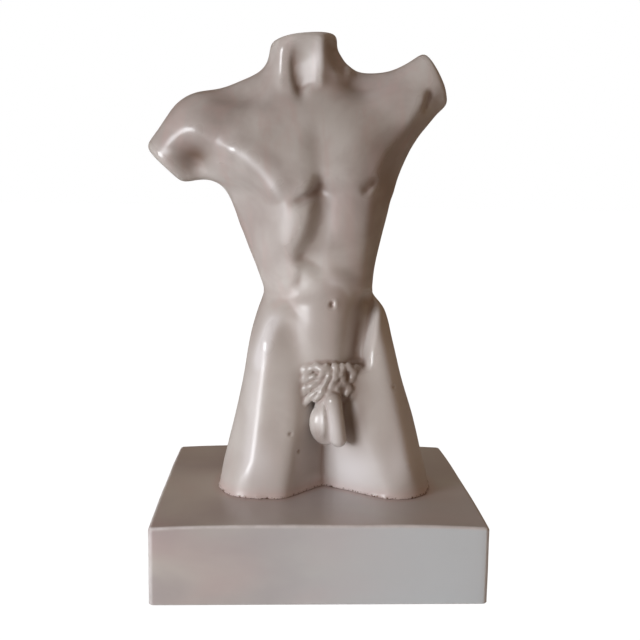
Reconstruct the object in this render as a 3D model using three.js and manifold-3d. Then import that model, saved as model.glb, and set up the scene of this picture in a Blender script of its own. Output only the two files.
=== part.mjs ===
// Glazed ceramic male torso on a rectangular ceramic plinth, after the antique manner.
// Millimetres, +Z up. The origin is the centre of the plinth's underside, and the figure faces -Y.
import * as THREE from "three";
import { mergeVertices } from "three/addons/utils/BufferGeometryUtils.js";
import Module from "manifold-3d";

const wasm = await Module();
wasm.setup();

// Driving dimensions
const FIGURE_HEIGHT = 364; // from the plinth's top to the highest corner of the cut neck, before rounding
const PLINTH_WIDTH = 250; // along X
const PLINTH_DEPTH = 220; // along Y
const PLINTH_HEIGHT = 61;
const PLINTH_CORNER_RADIUS = 4; // of the upright edges
const PLINTH_TOP_RADIUS = 3; // of the edge round the top
const PLINTH_FOOT_RADIUS = 1.5; // of the edge round the underside
const PLINTH_CORNER_DROOP = 2.2; // how far the top sinks at its four corners
const PLINTH_DROOP_REACH = 72; // how far from a corner the top starts to sink

// The figure is laid out in parts of its height, 364 to the whole, from the middle of its footprint.
const PARTS_IN_HEIGHT = 364;
const UNIT = FIGURE_HEIGHT / PARTS_IN_HEIGHT;

// Fineness of the faceted skin
const GRID_STEP = 3.6; // parts between the points where the form is first sampled
const HAIR_STEP = 2.3; // the same across the hair
const FIGURE_FACES = 8900; // triangles left once flat places are thinned out
const SKIN_LOW = [-146, -66, -12]; // corners of the box, in parts, that holds the whole figure
const SKIN_HIGH = [112, 66, 374];
const HAIR_LOW = [-18, -58, 42]; // corners of the box, in parts, that holds the hair
const HAIR_HIGH = [40, -24, 110];

// Upright profiles of the body: height, then how far it reaches left, right, front and back
const TRUNK = [
  [110, -36, 42, -30, 30],
  [135, -40, 43, -31, 29],
  [158, -43.2, 44.4, -32, 28],
  [180, -51, 46, -35.5, 30],
  [204, -60.7, 51.2, -39, 34],
  [228, -65.4, 57.4, -41, 38],
  [250, -68, 61, -42, 41],
  [275, -71, 64, -40, 42],
  [298, -70, 58, -33, 38],
  [316, -50, 34, -23, 31],
  [330, -34, 10, -14, 26],
];
const NECK = [
  [296, -46, 20, -16, 34],
  [315, -44, 17, -18, 32],
  [335, -42, 24, -22, 28],
  [345, -41.2, 18.5, -24, 27],
  [355, -40.3, 13.6, -26, 26],
  [372, -39, 10.5, -28, 24],
];
const PELVIS = [
  [-8, -60, 78, -15, 31],
  [30, -60, 72, -17, 34],
  [70, -60, 66, -21, 38],
  [100, -56, 60, -27, 39],
  [125, -52.5, 57.5, -29, 38],
  [145, -47.6, 53.5, -28, 33],
  [157, -42.8, 46.5, -25, 28],
  [168, -36, 36, -20, 24],
];
const LEFT_THIGH = [
  [-8, -80.5, 8, -52, 36],
  [20, -76, 7, -50, 37],
  [55, -67.6, 3, -46, 39],
  [90, -59.2, -3, -41, 39],
  [120, -53.8, -8, -36, 37],
  [145, -46.5, -14, -25.5, 32],
  [170, -36, -18, -4, 23],
];
const RIGHT_THIGH = [
  [-8, 2, 95, -55, 36],
  [20, 4, 90.4, -52, 37],
  [55, 9, 82, -47, 39],
  [90, 14, 70.4, -42, 39],
  [120, 19, 62.4, -38, 37],
  [145, 25, 54.5, -28, 32],
  [158, 28, 43, -14, 24],
];
const BELLY = [
  [98, -20, 32, -38.5, 0],
  [118, -24, 30, -40, 0],
  [138, -24, 28, -41, 0],
  [152, -20, 27, -40, 0],
  [162, -10, 24, -37, 0],
  [173, 1, 17, -30, 0],
];

// Small tools for forms: each gives a distance that is negative inside the form.

function smoothMin(a, b, width) {
  const overlap = Math.max(width - Math.abs(a - b), 0) / width;
  return Math.min(a, b) - (overlap ** 3 * width) / 6;
}

function smoothMax(a, b, width) {
  return -smoothMin(-a, -b, width);
}

function smoothStep(from, to, value) {
  const t = Math.min(Math.max((value - from) / (to - from), 0), 1);
  return t * t * (3 - 2 * t);
}

// A smooth run of values through the stations, which start with their height.
function profile(stations) {
  const last = stations.length - 1;
  const slopes = stations.map((_, i) => {
    const before = stations[Math.max(i - 1, 0)];
    const after = stations[Math.min(i + 1, last)];
    return after.map((value, k) => (value - before[k]) / (after[0] - before[0]));
  });
  return (height) => {
    const z = Math.min(Math.max(height, stations[0][0]), stations[last][0]);
    let i = 0;
    while (i < last - 1 && z >= stations[i + 1][0]) i += 1;
    const run = stations[i + 1][0] - stations[i][0];
    const t = (z - stations[i][0]) / run;
    const values = [];
    for (let k = 1; k < stations[i].length; k += 1) {
      const start = (2 * t ** 3 - 3 * t ** 2 + 1) * stations[i][k];
      const leave = (t ** 3 - 2 * t ** 2 + t) * run * slopes[i][k];
      const end = (3 * t ** 2 - 2 * t ** 3) * stations[i + 1][k];
      const arrive = (t ** 3 - t ** 2) * run * slopes[i + 1][k];
      values.push(start + leave + end + arrive);
    }
    return values;
  };
}

// An upright body whose level section is a rounded rectangle, squarer with a higher power.
function loft(stations, power) {
  const reach = profile(stations);
  const low = stations[0][0];
  const high = stations[stations.length - 1][0];
  const endRounding = 12;
  return (x, y, z) => {
    const [left, right, front, back] = reach(z);
    const dx = x - (left + right) / 2;
    const dy = y - (front + back) / 2;
    const u = Math.abs(dx) / ((right - left) / 2);
    const v = Math.abs(dy) / ((back - front) / 2);
    const ratio = Math.max((u ** power + v ** power) ** (1 / power), 0.05);
    const side = Math.hypot(dx, dy) * (1 - 1 / ratio);
    return smoothMax(side, Math.max(low - z, z - high), endRounding);
  };
}

// A round cone with ball ends, from a to b, its depth times flatness.
function bone(a, b, radiusA, radiusB, flatness = 1) {
  const axis = new THREE.Vector3(b[0] - a[0], (b[1] - a[1]) / flatness, b[2] - a[2]);
  const length2 = axis.lengthSq();
  const taper = radiusA - radiusB;
  const slant2 = length2 - taper * taper;
  const shrink = Math.sqrt(Math.min(flatness, 1));
  const offset = new THREE.Vector3();
  const across = new THREE.Vector3();
  return (x, y, z) => {
    offset.set(x - a[0], (y - a[1]) / flatness, z - a[2]);
    const along = offset.dot(axis);
    const past = along - length2;
    across.copy(offset).multiplyScalar(length2).addScaledVector(axis, -along);
    const across2 = across.lengthSq();
    const lean = Math.sign(taper) * taper * taper * across2;
    if (Math.sign(past) * slant2 * past * past * length2 > lean) {
      return shrink * (Math.sqrt(across2 + past * past * length2) / length2 - radiusB);
    }
    if (Math.sign(along) * slant2 * along * along * length2 < lean) {
      return shrink * (Math.sqrt(across2 + along * along * length2) / length2 - radiusA);
    }
    return shrink * ((Math.sqrt((across2 * slant2) / length2) + along * taper) / length2 - radiusA);
  };
}

// An ellipsoid, turned in the front plane by tilt degrees.
function ellipsoid(centre, radii, tilt = 0) {
  const cosine = Math.cos(THREE.MathUtils.degToRad(tilt));
  const sine = Math.sin(THREE.MathUtils.degToRad(tilt));
  return (x, y, z) => {
    const dx = x - centre[0];
    const dz = z - centre[2];
    const u = (dx * cosine + dz * sine) / radii[0];
    const v = (y - centre[1]) / radii[1];
    const w = (dz * cosine - dx * sine) / radii[2];
    const size = Math.hypot(u, v, w);
    const slope = Math.hypot(u / radii[0], v / radii[1], w / radii[2]) + 1e-9;
    return (size * (size - 1)) / slope;
  };
}

function plane(point, direction) {
  const normal = new THREE.Vector3(...direction).normalize();
  const offset = normal.dot(new THREE.Vector3(...point));
  return (x, y, z) => normal.x * x + normal.y * y + normal.z * z - offset;
}

// Small tools for relief: each gives how far the skin is raised at a place seen from the front, x and z.

// A ridge, or a groove where height is negative, along a smooth line through the points. Its flanks
// have a width each, left and right of the line as it runs, and it fades out over a share of each end.
function crease(points, left, right, height, fade = 0.25) {
  const knots = points.map(([x, z]) => new THREE.Vector3(x, z, 0));
  const steps = 5 * (points.length - 1);
  const line = new THREE.CatmullRomCurve3(knots, false, "catmullrom", 0.5).getPoints(steps);
  const margin = 3 * Math.max(left, right);
  const box = new THREE.Box3().setFromPoints(line).expandByScalar(margin);
  return (x, z) => {
    if (x < box.min.x || x > box.max.x || z < box.min.y || z > box.max.y) return 0;
    let nearest = Infinity;
    let share = 0;
    let width = left;
    for (let i = 0; i < steps; i += 1) {
      const ax = line[i + 1].x - line[i].x;
      const az = line[i + 1].y - line[i].y;
      const dx = x - line[i].x;
      const dz = z - line[i].y;
      const t = Math.min(Math.max((dx * ax + dz * az) / (ax * ax + az * az), 0), 1);
      const distance2 = (dx - t * ax) ** 2 + (dz - t * az) ** 2;
      if (distance2 < nearest) {
        nearest = distance2;
        share = (i + t) / steps;
        width = ax * dz - az * dx > 0 ? left : right;
      }
    }
    const ends = smoothStep(0, fade, share) * smoothStep(0, fade, 1 - share);
    return height * ends * Math.exp(-nearest / (width * width));
  };
}

// A soft swelling, or a hollow where height is negative, turned by tilt degrees.
function swelling(centreX, centreZ, radiusX, radiusZ, height, tilt = 0) {
  const cosine = Math.cos(THREE.MathUtils.degToRad(tilt));
  const sine = Math.sin(THREE.MathUtils.degToRad(tilt));
  return (x, z) => {
    const u = ((x - centreX) * cosine + (z - centreZ) * sine) / radiusX;
    const v = ((z - centreZ) * cosine - (x - centreX) * sine) / radiusZ;
    return height * Math.exp(-u * u - v * v);
  };
}

// Where the front and the outer side of each thigh meet, seen from the front
const LEFT_RIDGE = [
  [-28, 149], [-38, 136], [-44.5, 118], [-48.5, 96], [-51, 69], [-52.5, 44], [-56, 24], [-61, 6],
];
const RIGHT_RIDGE = [
  [47, 140], [54, 117], [58.7, 101], [62.4, 78], [65.3, 62], [69, 47], [72.6, 26], [77.2, 6],
];

const NECK_RELIEF = [
  crease([[-31, 358], [-32.5, 338], [-31.5, 314]], 5, 5, 1.8),
  crease([[-20, 357], [-21.5, 341], [-20.6, 329], [-18, 320], [-14, 313]], 11, 3.4, -3.8, 0.3),
  crease([[0.5, 364], [-0.5, 344], [-1.5, 318]], 5, 8, 3, 0.2),
  swelling(-16, 316, 4.5, 6, -3),
  crease([[-98, 313.5], [-82, 310.6], [-67, 309], [-53, 310], [-38, 313]], 2.4, 3.6, -0.6, 0.4),
  swelling(-66, 303, 20, 8, 1.8),
  crease([[8, 360], [10.5, 349], [15, 339], [23, 333]], 6, 5, -4.6, 0.3),
  crease([[9, 320], [28, 319], [51, 323.5], [66, 329]], 4, 4, -0.8, 0.4),
];
const CHEST_RELIEF = [
  swelling(-42, 268, 32, 17, 3.2, -33),
  swelling(26, 268, 14, 28, 2.4, -24),
  crease([[-82, 279], [-69, 271.5], [-56, 263.5], [-45, 253], [-35, 242.5], [-29, 231]], 13, 8.5, 4.6),
  crease([[-96, 263.5], [-82, 262], [-70, 258.5], [-56, 250], [-42, 240.5], [-32, 232]], 4, 6, 1.6, 0.3),
  crease([[-28, 231], [-16.4, 234], [-9, 237.4], [-4, 241.4], [0, 249]], 3.4, 5, -3.6, 0.3),
  swelling(-13, 244, 9, 6, 1.8, 25),
  swelling(0, 247, 5, 10, -3, 10),
  crease([[34, 246], [52, 273], [64, 287], [76, 304], [84, 320]], 9, 5, 1.8, 0.15),
  crease([[45, 253], [38, 245.5], [30, 238]], 3, 4, -2.6, 0.35),
  crease([[-7, 300], [-4, 274], [-1, 252]], 9, 9, -1.8, 0.4),
  swelling(-98, 266, 15, 12, -10.5, -15),
  crease([[85.5, 323], [84.5, 313], [80, 302]], 3.2, 3, -3.4, 0.4),
];
const WAIST_RELIEF = [
  crease([[-10, 245], [-11.5, 226], [-15, 211], [-21, 197], [-28, 185]], 9.5, 18, 2.4),
  crease(
    [[1, 262], [1.5, 240], [2, 224], [-0.5, 211], [-6, 200], [-13, 189], [-19, 179]],
    18, 9, -7.2, 0.2,
  ),
  swelling(13, 221, 9, 12, 1.6),
  crease([[-11, 184], [-15, 174], [-21, 162]], 6, 3.4, -1.6, 0.4),
];
const THIGH_RELIEF = [
  crease([[-17, 156], [-17, 140], [-20, 112], [-20, 86]], 10, 10, -1.6, 0.4),
  crease([[47, 162], [42, 146], [37.5, 130], [34.5, 113], [36, 99]], 4.5, 12, -12, 0.2),
  crease([[-23, 154], [-29, 147], [-37, 137], [-43, 122], [-47, 105]], 18, 7.5, 3, 0.3),
  crease(LEFT_RIDGE, 12, 11, 1.4, 0.2),
  crease(RIGHT_RIDGE, 6, 9, 1.5, 0.15),
];
const FRONT_RELIEF = [...NECK_RELIEF, ...CHEST_RELIEF, ...WAIST_RELIEF, ...THIGH_RELIEF];

const BACK_RELIEF = [
  crease([[-14, 318], [-10, 270], [-3, 215], [2, 170], [4, 128]], 9, 9, -3.4, 0.25),
  swelling(-44, 280, 18, 24, 3, 15),
  swelling(34, 284, 18, 25, 3, -30),
  crease([[-28, 296], [-26, 274], [-36, 254], [-56, 244]], 7, 7, -1.4, 0.4),
  crease([[10, 300], [14, 276], [28, 256], [50, 248]], 7, 7, -1.4, 0.4),
  crease([[4, 138], [4, 100], [3, 60]], 8, 8, -5, 0.5),
  crease([[-48, 70], [-28, 64], [-4, 68]], 8, 6, -2.6, 0.4),
  crease([[10, 68], [34, 64], [56, 70]], 8, 6, -2.6, 0.4),
  swelling(-10, 140, 5, 5, -1.2),
  swelling(16, 140, 5, 5, -1.2),
];

// The carved locks of hair: x and z of the root, the bend and the tip of each, and its radius at the bend
const LOCKS = [
  { line: [[-9.5, 92], [-9.5, 101], [-2, 104]], radius: 3.8 },
  { line: [[-2, 104], [4.2, 102.5], [1.5, 96]], radius: 3.8 },
  { line: [[-12, 84], [-10.5, 93], [-3, 96.5]], radius: 3.7 },
  { line: [[-12.5, 78], [-9.5, 86], [-2, 90.5]], radius: 3.6 },
  { line: [[-10, 74.5], [-5.5, 80], [0.5, 86]], radius: 3.2 },
  { line: [[6.5, 104.5], [8.4, 98], [5, 90.5]], radius: 3.4 },
  { line: [[13, 104.8], [13.6, 97], [11, 90.5]], radius: 3.8 },
  { line: [[19, 104.8], [17.5, 98], [21, 91]], radius: 3.6 },
  { line: [[23, 104.5], [28, 100.5], [26, 93]], radius: 3.8 },
  { line: [[29.5, 103], [35, 98], [33, 90]], radius: 4.1 },
  { line: [[34.5, 92], [34, 85], [30, 79]], radius: 3.7 },
  { line: [[28.5, 92], [30, 86], [27, 80]], radius: 3.1 },
  { line: [[22, 91], [25, 86], [22, 81.5]], radius: 3.2 },
  { line: [[18, 92], [14.5, 87], [16.5, 82]], radius: 3 },
  { line: [[12.5, 91], [8.5, 84], [4.5, 76]], radius: 3.2 },
  { line: [[5.5, 91], [2.8, 84], [-2.5, 77]], radius: 3.2 },
];
const HAIR_MIDDLE = 11.5;

function hairFront(x, z) {
  return -42 + 9 * ((x - HAIR_MIDDLE) / 25) ** 2 - 0.02 * (100 - z);
}

// The two tapering bones of each lock. Each knot of its line stands a little further out.
function lockForms() {
  const rise = 0.5;
  return LOCKS.flatMap(({ line, radius }) => {
    const [root, bend, tip] = line.map(([x, z], n) => [x, hairFront(x, z) - rise * n, z]);
    return [bone(root, bend, 0.85 * radius, radius), bone(bend, tip, radius, 0.6 * radius)];
  });
}

function groinForm() {
  const mound = ellipsoid([11, -29, 90], [24.5, 15, 18]);
  const locks = lockForms();
  const sacBack = bone([8, -34, 78], [8, -36, 57], 9.5, 12.5);
  const sacFront = ellipsoid([6.4, -39.5, 58.4], [13.2, 9.5, 17.4], 3);
  const shaft = bone([12, -45, 78], [16.4, -46, 47.6], 6.6, 6.6);
  const seam = crease([[3.4, 78], [4.4, 62], [3.6, 45]], 1.3, 1.6, 1.2, 0.2);
  const groove = crease([[7, 77], [8, 62], [8.2, 43]], 1.5, 1.7, 0.5, 0.15);
  return (x, y, z) => {
    let distance = mound(x, y, z);
    for (const lock of locks) distance = smoothMin(distance, lock(x, y, z), 1.2);
    const sac = smoothMin(sacBack(x, y, z), sacFront(x, y, z), 3);
    const carved = smoothMin(sac, shaft(x, y, z), 3) + groove(x, z) - seam(x, z);
    return smoothMin(distance, carved, 2);
  };
}

// The stump of an arm: a tapering form cut by a plane, with the rim of the cut rounded by the glaze.
function stump(forms, cut) {
  const rimRounding = 9;
  return (x, y, z) => {
    const limb = forms.map((form) => form(x, y, z)).reduce((a, b) => smoothMin(a, b, 14));
    return smoothMax(limb, cut(x, y, z), rimRounding);
  };
}

// A thigh whose inner side is cut back, so that a valley opens between the legs, and whose outer side
// is a flatter plane that meets the front in a ridge and flares out, by so much, at the foot.
function thigh(stations, inner, outer, foot) {
  const body = loft(stations, 2.8);
  const flareTop = 34;
  return (x, y, z) => {
    const flare = foot * smoothStep(flareTop, 0, z);
    const cut = smoothMax(body(x, y, z), inner(x, y, z), 9);
    return smoothMax(cut, outer(x, y, z) - flare, 11);
  };
}

// Forms joined one after the other, each with a soft blend of its own width to what is there.
function joinForms(joined) {
  return (x, y, z) => {
    let distance = Infinity;
    for (const { form, blend } of joined) distance = smoothMin(distance, form(x, y, z), blend);
    return distance;
  };
}

// The trunk with the neck, the shoulders and the stumps of the arms. Flat planes pare its sides.
function trunkForm() {
  const leftArm = stump(
    [
      bone([-92, 0, 284], [-117.5, -2, 266.5], 32.5, 21.8, 0.94),
      bone([-50, -5, 272], [-88, -3, 282], 33, 30, 0.98),
    ],
    plane([-125, 0, 260], [-0.7, 0, -0.716]),
  );
  const rightArm = stump(
    [bone([48, 2, 294], [102, 0, 341], 29, 20.5)],
    plane([93, 0, 333], [0.88, 0, 0.47]),
  );
  const barrel = loft(TRUNK, 2.7);
  const leftSide = plane([-30, -41, 225], [-0.7, -0.71, -0.16]);
  const body = joinForms([
    { form: (x, y, z) => smoothMax(barrel(x, y, z), leftSide(x, y, z), 18), blend: 1 },
    { form: loft(NECK, 2.45), blend: 20 },
    { form: bone([-26, 10, 322], [-88, 4, 297.4], 21, 18, 0.95), blend: 18 },
    { form: bone([-4, 10, 322], [62, 4, 318], 15, 17, 0.95), blend: 18 },
    { form: bone([-68, 4, 264], [-50, 4, 222], 15.5, 14), blend: 12 },
    { form: leftArm, blend: 16 },
    { form: rightArm, blend: 16 },
    { form: bone([62, 4, 286], [53, 4, 246], 13, 8), blend: 12 },
  ]);
  const lowFlank = plane([38, -35, 215], [0.87, -0.48, -0.12]);
  const highFlank = plane([63, -26, 287], [0.72, -0.53, -0.42]);
  const underArm = plane([86.4, -18.8, 317.8], [0.3, -0.55, -0.78]);
  return (x, y, z) => {
    const flank = smoothMin(lowFlank(x, y, z), highFlank(x, y, z), 6);
    return smoothMax(body(x, y, z), smoothMin(flank, underArm(x, y, z), 4), 6);
  };
}

function legsForm() {
  const leftInner = plane([-11, -34.5, 0], [0.76, -0.65, -0.06]);
  const leftOuter = plane([-50.5, -44, 69], [-0.87, -0.46, 0.13]);
  const rightInner = plane([27, -31.5, 0], [-0.6, -0.79, -0.12]);
  const rightOuter = plane([67.5, -44, 62], [0.93, -0.36, 0.245]);
  const leftThigh = thigh(LEFT_THIGH, leftInner, leftOuter, 12);
  const rightThigh = thigh(RIGHT_THIGH, rightInner, rightOuter, 6);
  return (x, y, z) => smoothMin(leftThigh(x, y, z), rightThigh(x, y, z), 2);
}

function figureForm() {
  const body = joinForms([
    { form: trunkForm(), blend: 1 },
    { form: loft(PELVIS, 2.6), blend: 7 },
    { form: legsForm(), blend: 10 },
    { form: ellipsoid([-24, 18, 97], [29, 28, 37], -8), blend: 16 },
    { form: ellipsoid([32, 18, 97], [30, 28, 37], 8), blend: 16 },
    { form: loft(BELLY, 2.1), blend: 22 },
  ]);
  const neckTop = plane([-22, 0, 361.4], [-0.075, 0, 0.997]);
  const neckCorner = plane([-22, 0, 361.9], [-0.27, 0, 0.963]);
  const groin = groinForm();
  const navel = [swelling(9.7, 153.5, 1.7, 2.3, -2.6), swelling(13, 154, 2.4, 3.6, 0.8)];
  const reliefReach = 16;
  const sum = (reliefs, x, z) => reliefs.reduce((total, relief) => total + relief(x, z), 0);

  return (x, y, z) => {
    let distance = body(x, y, z);
    if (Math.abs(distance) < reliefReach && y < 10) {
      distance -= smoothStep(10, -14, y) * sum(FRONT_RELIEF, x, z);
    }
    if (Math.abs(distance) < reliefReach && y > 0) {
      distance -= smoothStep(4, 22, y) * sum(BACK_RELIEF, x, z);
    }
    const neckCut = smoothMax(neckTop(x, y, z), neckCorner(x, y, z), 4);
    distance = smoothMax(distance, neckCut, 8);
    if (Math.abs(x - 11) < 45 && Math.abs(z - 74) < 60 && y < -5) {
      distance = smoothMin(distance, groin(x, y, z), 3);
    }
    if (Math.abs(x - 10) < 10 && Math.abs(z - 154) < 10 && y < 0) {
      distance -= sum(navel, x, z);
    }
    return distance;
  };
}

// The faceted skin of a form: the form is sampled on a grid, and six tetrahedra fill each cell.
const KUHN_PATHS = [[1, 3], [1, 5], [2, 3], [2, 6], [4, 5], [4, 6]];

function skin(form, axes) {
  const counts = axes.map((values) => values.length);
  const samples = new Float64Array(counts[0] * counts[1] * counts[2]).fill(NaN);
  const index = (i, j, k) => (k * counts[1] + j) * counts[0] + i;
  const place = (n) => {
    const i = n % counts[0];
    const j = Math.floor(n / counts[0]) % counts[1];
    const k = Math.floor(n / (counts[0] * counts[1]));
    return new THREE.Vector3(axes[0][i], axes[1][j], axes[2][k]);
  };
  const sample = (n) => {
    if (Number.isNaN(samples[n])) samples[n] = form(...place(n)) || 1e-6;
    return samples[n];
  };
  const points = [];
  const faces = [];
  const crossings = new Map();
  const crossing = (inside, outside) => {
    const key = Math.min(inside, outside) * samples.length + Math.max(inside, outside);
    if (!crossings.has(key)) {
      const share = sample(inside) / (sample(inside) - sample(outside));
      crossings.set(key, points.length);
      points.push(place(inside).lerp(place(outside), Math.min(Math.max(share, 0.05), 0.95)));
    }
    return crossings.get(key);
  };
  const addFace = (edges, outward) => {
    const middles = edges.map(([a, b]) => place(a).lerp(place(b), 0.5));
    const normal = middles[1].sub(middles[0]).cross(middles[2].sub(middles[0]));
    const corners = edges.map(([a, b]) => crossing(a, b));
    faces.push(normal.dot(outward) > 0 ? corners : corners.reverse());
  };
  const addTetrahedron = (corners) => {
    const inside = corners.filter((n) => sample(n) < 0);
    const outside = corners.filter((n) => sample(n) >= 0);
    if (inside.length === 0 || outside.length === 0) return;
    const middle = (list) => {
      return list.reduce((sum, n) => sum.add(place(n)), new THREE.Vector3()).divideScalar(list.length);
    };
    const outward = middle(outside).sub(middle(inside));
    const [a, b] = inside;
    const [c, d] = outside;
    if (inside.length === 1) addFace(outside.map((n) => [a, n]), outward);
    if (outside.length === 1) addFace(inside.map((n) => [n, c]), outward);
    if (inside.length === 2) {
      addFace([[a, c], [a, d], [b, d]], outward);
      addFace([[a, c], [b, d], [b, c]], outward);
    }
  };
  const block = 4;
  for (let k = 0; k < counts[2] - 1; k += block) {
    for (let j = 0; j < counts[1] - 1; j += block) {
      for (let i = 0; i < counts[0] - 1; i += block) {
        const end = [i, j, k].map((value, axis) => Math.min(value + block, counts[axis] - 1));
        const from = place(index(i, j, k));
        const to = place(index(...end));
        const centre = from.clone().lerp(to, 0.5);
        if (Math.abs(form(centre.x, centre.y, centre.z)) > from.distanceTo(to)) continue;
        forEachCell([i, j, k], end, (ci, cj, ck) => {
          const corner = (bits) => index(ci + (bits & 1), cj + ((bits >> 1) & 1), ck + (bits >> 2));
          for (const [first, second] of KUHN_PATHS) {
            addTetrahedron([corner(0), corner(first), corner(second), corner(7)]);
          }
        });
      }
    }
  }
  return { points, faces };
}

// The places along one axis where the form is sampled, closer together across the hair.
function samplePlaces(axis) {
  const places = [SKIN_LOW[axis]];
  while (places[places.length - 1] < SKIN_HIGH[axis]) {
    const last = places[places.length - 1];
    const inHair = last > HAIR_LOW[axis] && last < HAIR_HIGH[axis];
    places.push(last + (inHair ? HAIR_STEP : GRID_STEP));
  }
  return places;
}

function forEachCell(start, end, visit) {
  for (let k = start[2]; k < end[2]; k += 1) {
    for (let j = start[1]; j < end[1]; j += 1) {
      for (let i = start[0]; i < end[0]; i += 1) visit(i, j, k);
    }
  }
}

// Moves each point along the form's slope until it lies on the form.
function settle(form, points, rounds, most) {
  const probe = 0.05;
  for (const p of points) {
    for (let round = 0; round < rounds; round += 1) {
      const value = form(p.x, p.y, p.z);
      const slope = new THREE.Vector3(
        form(p.x + probe, p.y, p.z) - value,
        form(p.x, p.y + probe, p.z) - value,
        form(p.x, p.y, p.z + probe) - value,
      ).divideScalar(probe);
      const travel = THREE.MathUtils.clamp(value / Math.max(slope.lengthSq(), 0.2), -most, most);
      p.addScaledVector(slope, -travel);
    }
  }
}

// Thins a closed skin out, cheapest edges first, by the sum of squared distances to the faces that it had.
function thinOut(points, faces, budget) {
  const quadrics = points.map(() => new Float64Array(10));
  const normal = new THREE.Vector3();
  for (const face of faces) {
    faceNormal(normal, ...face.map((corner) => points[corner]));
    const area = normal.length();
    normal.normalize();
    const row = [normal.x, normal.y, normal.z, -normal.dot(points[face[0]])];
    let slot = 0;
    for (let i = 0; i < 4; i += 1) {
      for (let j = i; j < 4; j += 1) {
        for (const corner of face) quadrics[corner][slot] += row[i] * row[j] * area;
        slot += 1;
      }
    }
  }
  let live = faces;
  let shareTried = 0.3;
  while (live.length > budget && shareTried <= 1) {
    const before = live.length;
    live = collapseRound(points, live, quadrics, budget, shareTried);
    if (live.length > 0.97 * before) shareTried += 0.1;
  }
  return live;
}

function faceNormal(normal, a, b, c) {
  const ux = b.x - a.x;
  const uy = b.y - a.y;
  const uz = b.z - a.z;
  const vx = c.x - a.x;
  const vy = c.y - a.y;
  const vz = c.z - a.z;
  return normal.set(uy * vz - uz * vy, uz * vx - ux * vz, ux * vy - uy * vx);
}

// The squared distance that joining points a and b costs. The joint quadric and the place where the
// joined point lies best, the quadric's lowest point if that is near, or the middle, are left in `join`.
function joiningCost(join, a, b, quadricA, quadricB) {
  const q = join.quadric;
  for (let k = 0; k < 10; k += 1) q[k] = quadricA[k] + quadricB[k];
  join.place.addVectors(a, b).multiplyScalar(0.5);
  const minorX = q[4] * q[7] - q[5] * q[5];
  const minorY = q[1] * q[7] - q[5] * q[2];
  const minorZ = q[1] * q[5] - q[4] * q[2];
  const determinant = q[0] * minorX - q[1] * minorY + q[2] * minorZ;
  const length2 = a.distanceToSquared(b);
  if (determinant > 1e-3 * ((q[0] + q[4] + q[7]) / 3) ** 3) {
    const x = -(q[3] * minorX - q[1] * (q[6] * q[7] - q[5] * q[8]) + q[2] * (q[6] * q[5] - q[4] * q[8]));
    const y = -(q[0] * (q[6] * q[7] - q[8] * q[5]) - q[3] * minorY + q[2] * (q[1] * q[8] - q[6] * q[2]));
    const z = -(q[0] * (q[4] * q[8] - q[6] * q[5]) - q[1] * (q[1] * q[8] - q[6] * q[2]) + q[3] * minorZ);
    join.lowest.set(x, y, z).divideScalar(determinant);
    if (join.lowest.distanceToSquared(join.place) < length2) join.place.copy(join.lowest);
  }
  const { x, y, z } = join.place;
  const error = q[0] * x * x + q[4] * y * y + q[7] * z * z + q[9]
    + 2 * (q[1] * x * y + q[2] * x * z + q[3] * x + q[5] * y * z + q[6] * y + q[8] * z);
  const evenness = 4e-5 * length2 * length2;
  return error + evenness;
}

// One round of joining points, over the cheapest share of the edges.
function collapseRound(points, faces, quadrics, budget, shareTried) {
  const rings = points.map(() => null);
  const edges = [];
  faces.forEach((face, n) => {
    for (let i = 0; i < 3; i += 1) {
      const corner = face[i];
      const next = face[(i + 1) % 3];
      if (rings[corner] === null) rings[corner] = [];
      rings[corner].push(n);
      if (corner < next) edges.push([corner, next]);
    }
  });
  const join = { quadric: new Float64Array(10), place: new THREE.Vector3(), lowest: new THREE.Vector3() };
  const costs = new Float64Array(edges.length);
  edges.forEach(([a, b], n) => {
    costs[n] = joiningCost(join, points[a], points[b], quadrics[a], quadrics[b]);
  });
  const dearest = costs.slice().sort()[Math.floor((edges.length - 1) * shareTried)];
  const touched = new Uint8Array(points.length);
  const seen = new Int32Array(points.length);
  const gone = new Uint8Array(faces.length);
  let left = faces.length;
  for (let n = 0; n < edges.length && left > budget; n += 1) {
    const [a, b] = edges[n];
    if (costs[n] > dearest || touched[a] || touched[b]) continue;
    if (!canJoin(faces, rings[a], rings[b], a, b, touched, seen, n + 1)) continue;
    joiningCost(join, points[a], points[b], quadrics[a], quadrics[b]);
    const around = [...rings[a], ...rings[b]];
    const spoils = (place) => around.some((f) => turnsOver(points, faces[f], a, b, place));
    if (spoils(join.place)) join.place.lerpVectors(points[a], points[b], 0.5);
    if (spoils(join.place)) join.place.copy(points[a]);
    if (spoils(join.place)) continue;
    points[a].copy(join.place);
    quadrics[a].set(join.quadric);
    for (const f of rings[b]) {
      if (faces[f].includes(a)) gone[f] = 1;
      else faces[f] = faces[f].map((corner) => (corner === b ? a : corner));
    }
    left -= 2;
    for (const f of around) {
      for (const corner of faces[f]) touched[corner] = 1;
    }
  }
  return faces.filter((_, n) => !gone[n]);
}

// Two points can be joined if just two others neighbour both, and none around them has moved in this round.
function canJoin(faces, ringA, ringB, a, b, touched, seen, stamp) {
  for (const f of ringA) {
    for (const corner of faces[f]) {
      if (touched[corner]) return false;
      seen[corner] = stamp;
    }
  }
  let shared = 0;
  for (const f of ringB) {
    for (const corner of faces[f]) {
      if (touched[corner]) return false;
      if (corner !== a && corner !== b && seen[corner] === stamp) {
        shared += 1;
        seen[corner] = 0;
      }
    }
  }
  return shared === 2;
}

const normalBefore = new THREE.Vector3();
const normalAfter = new THREE.Vector3();

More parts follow.
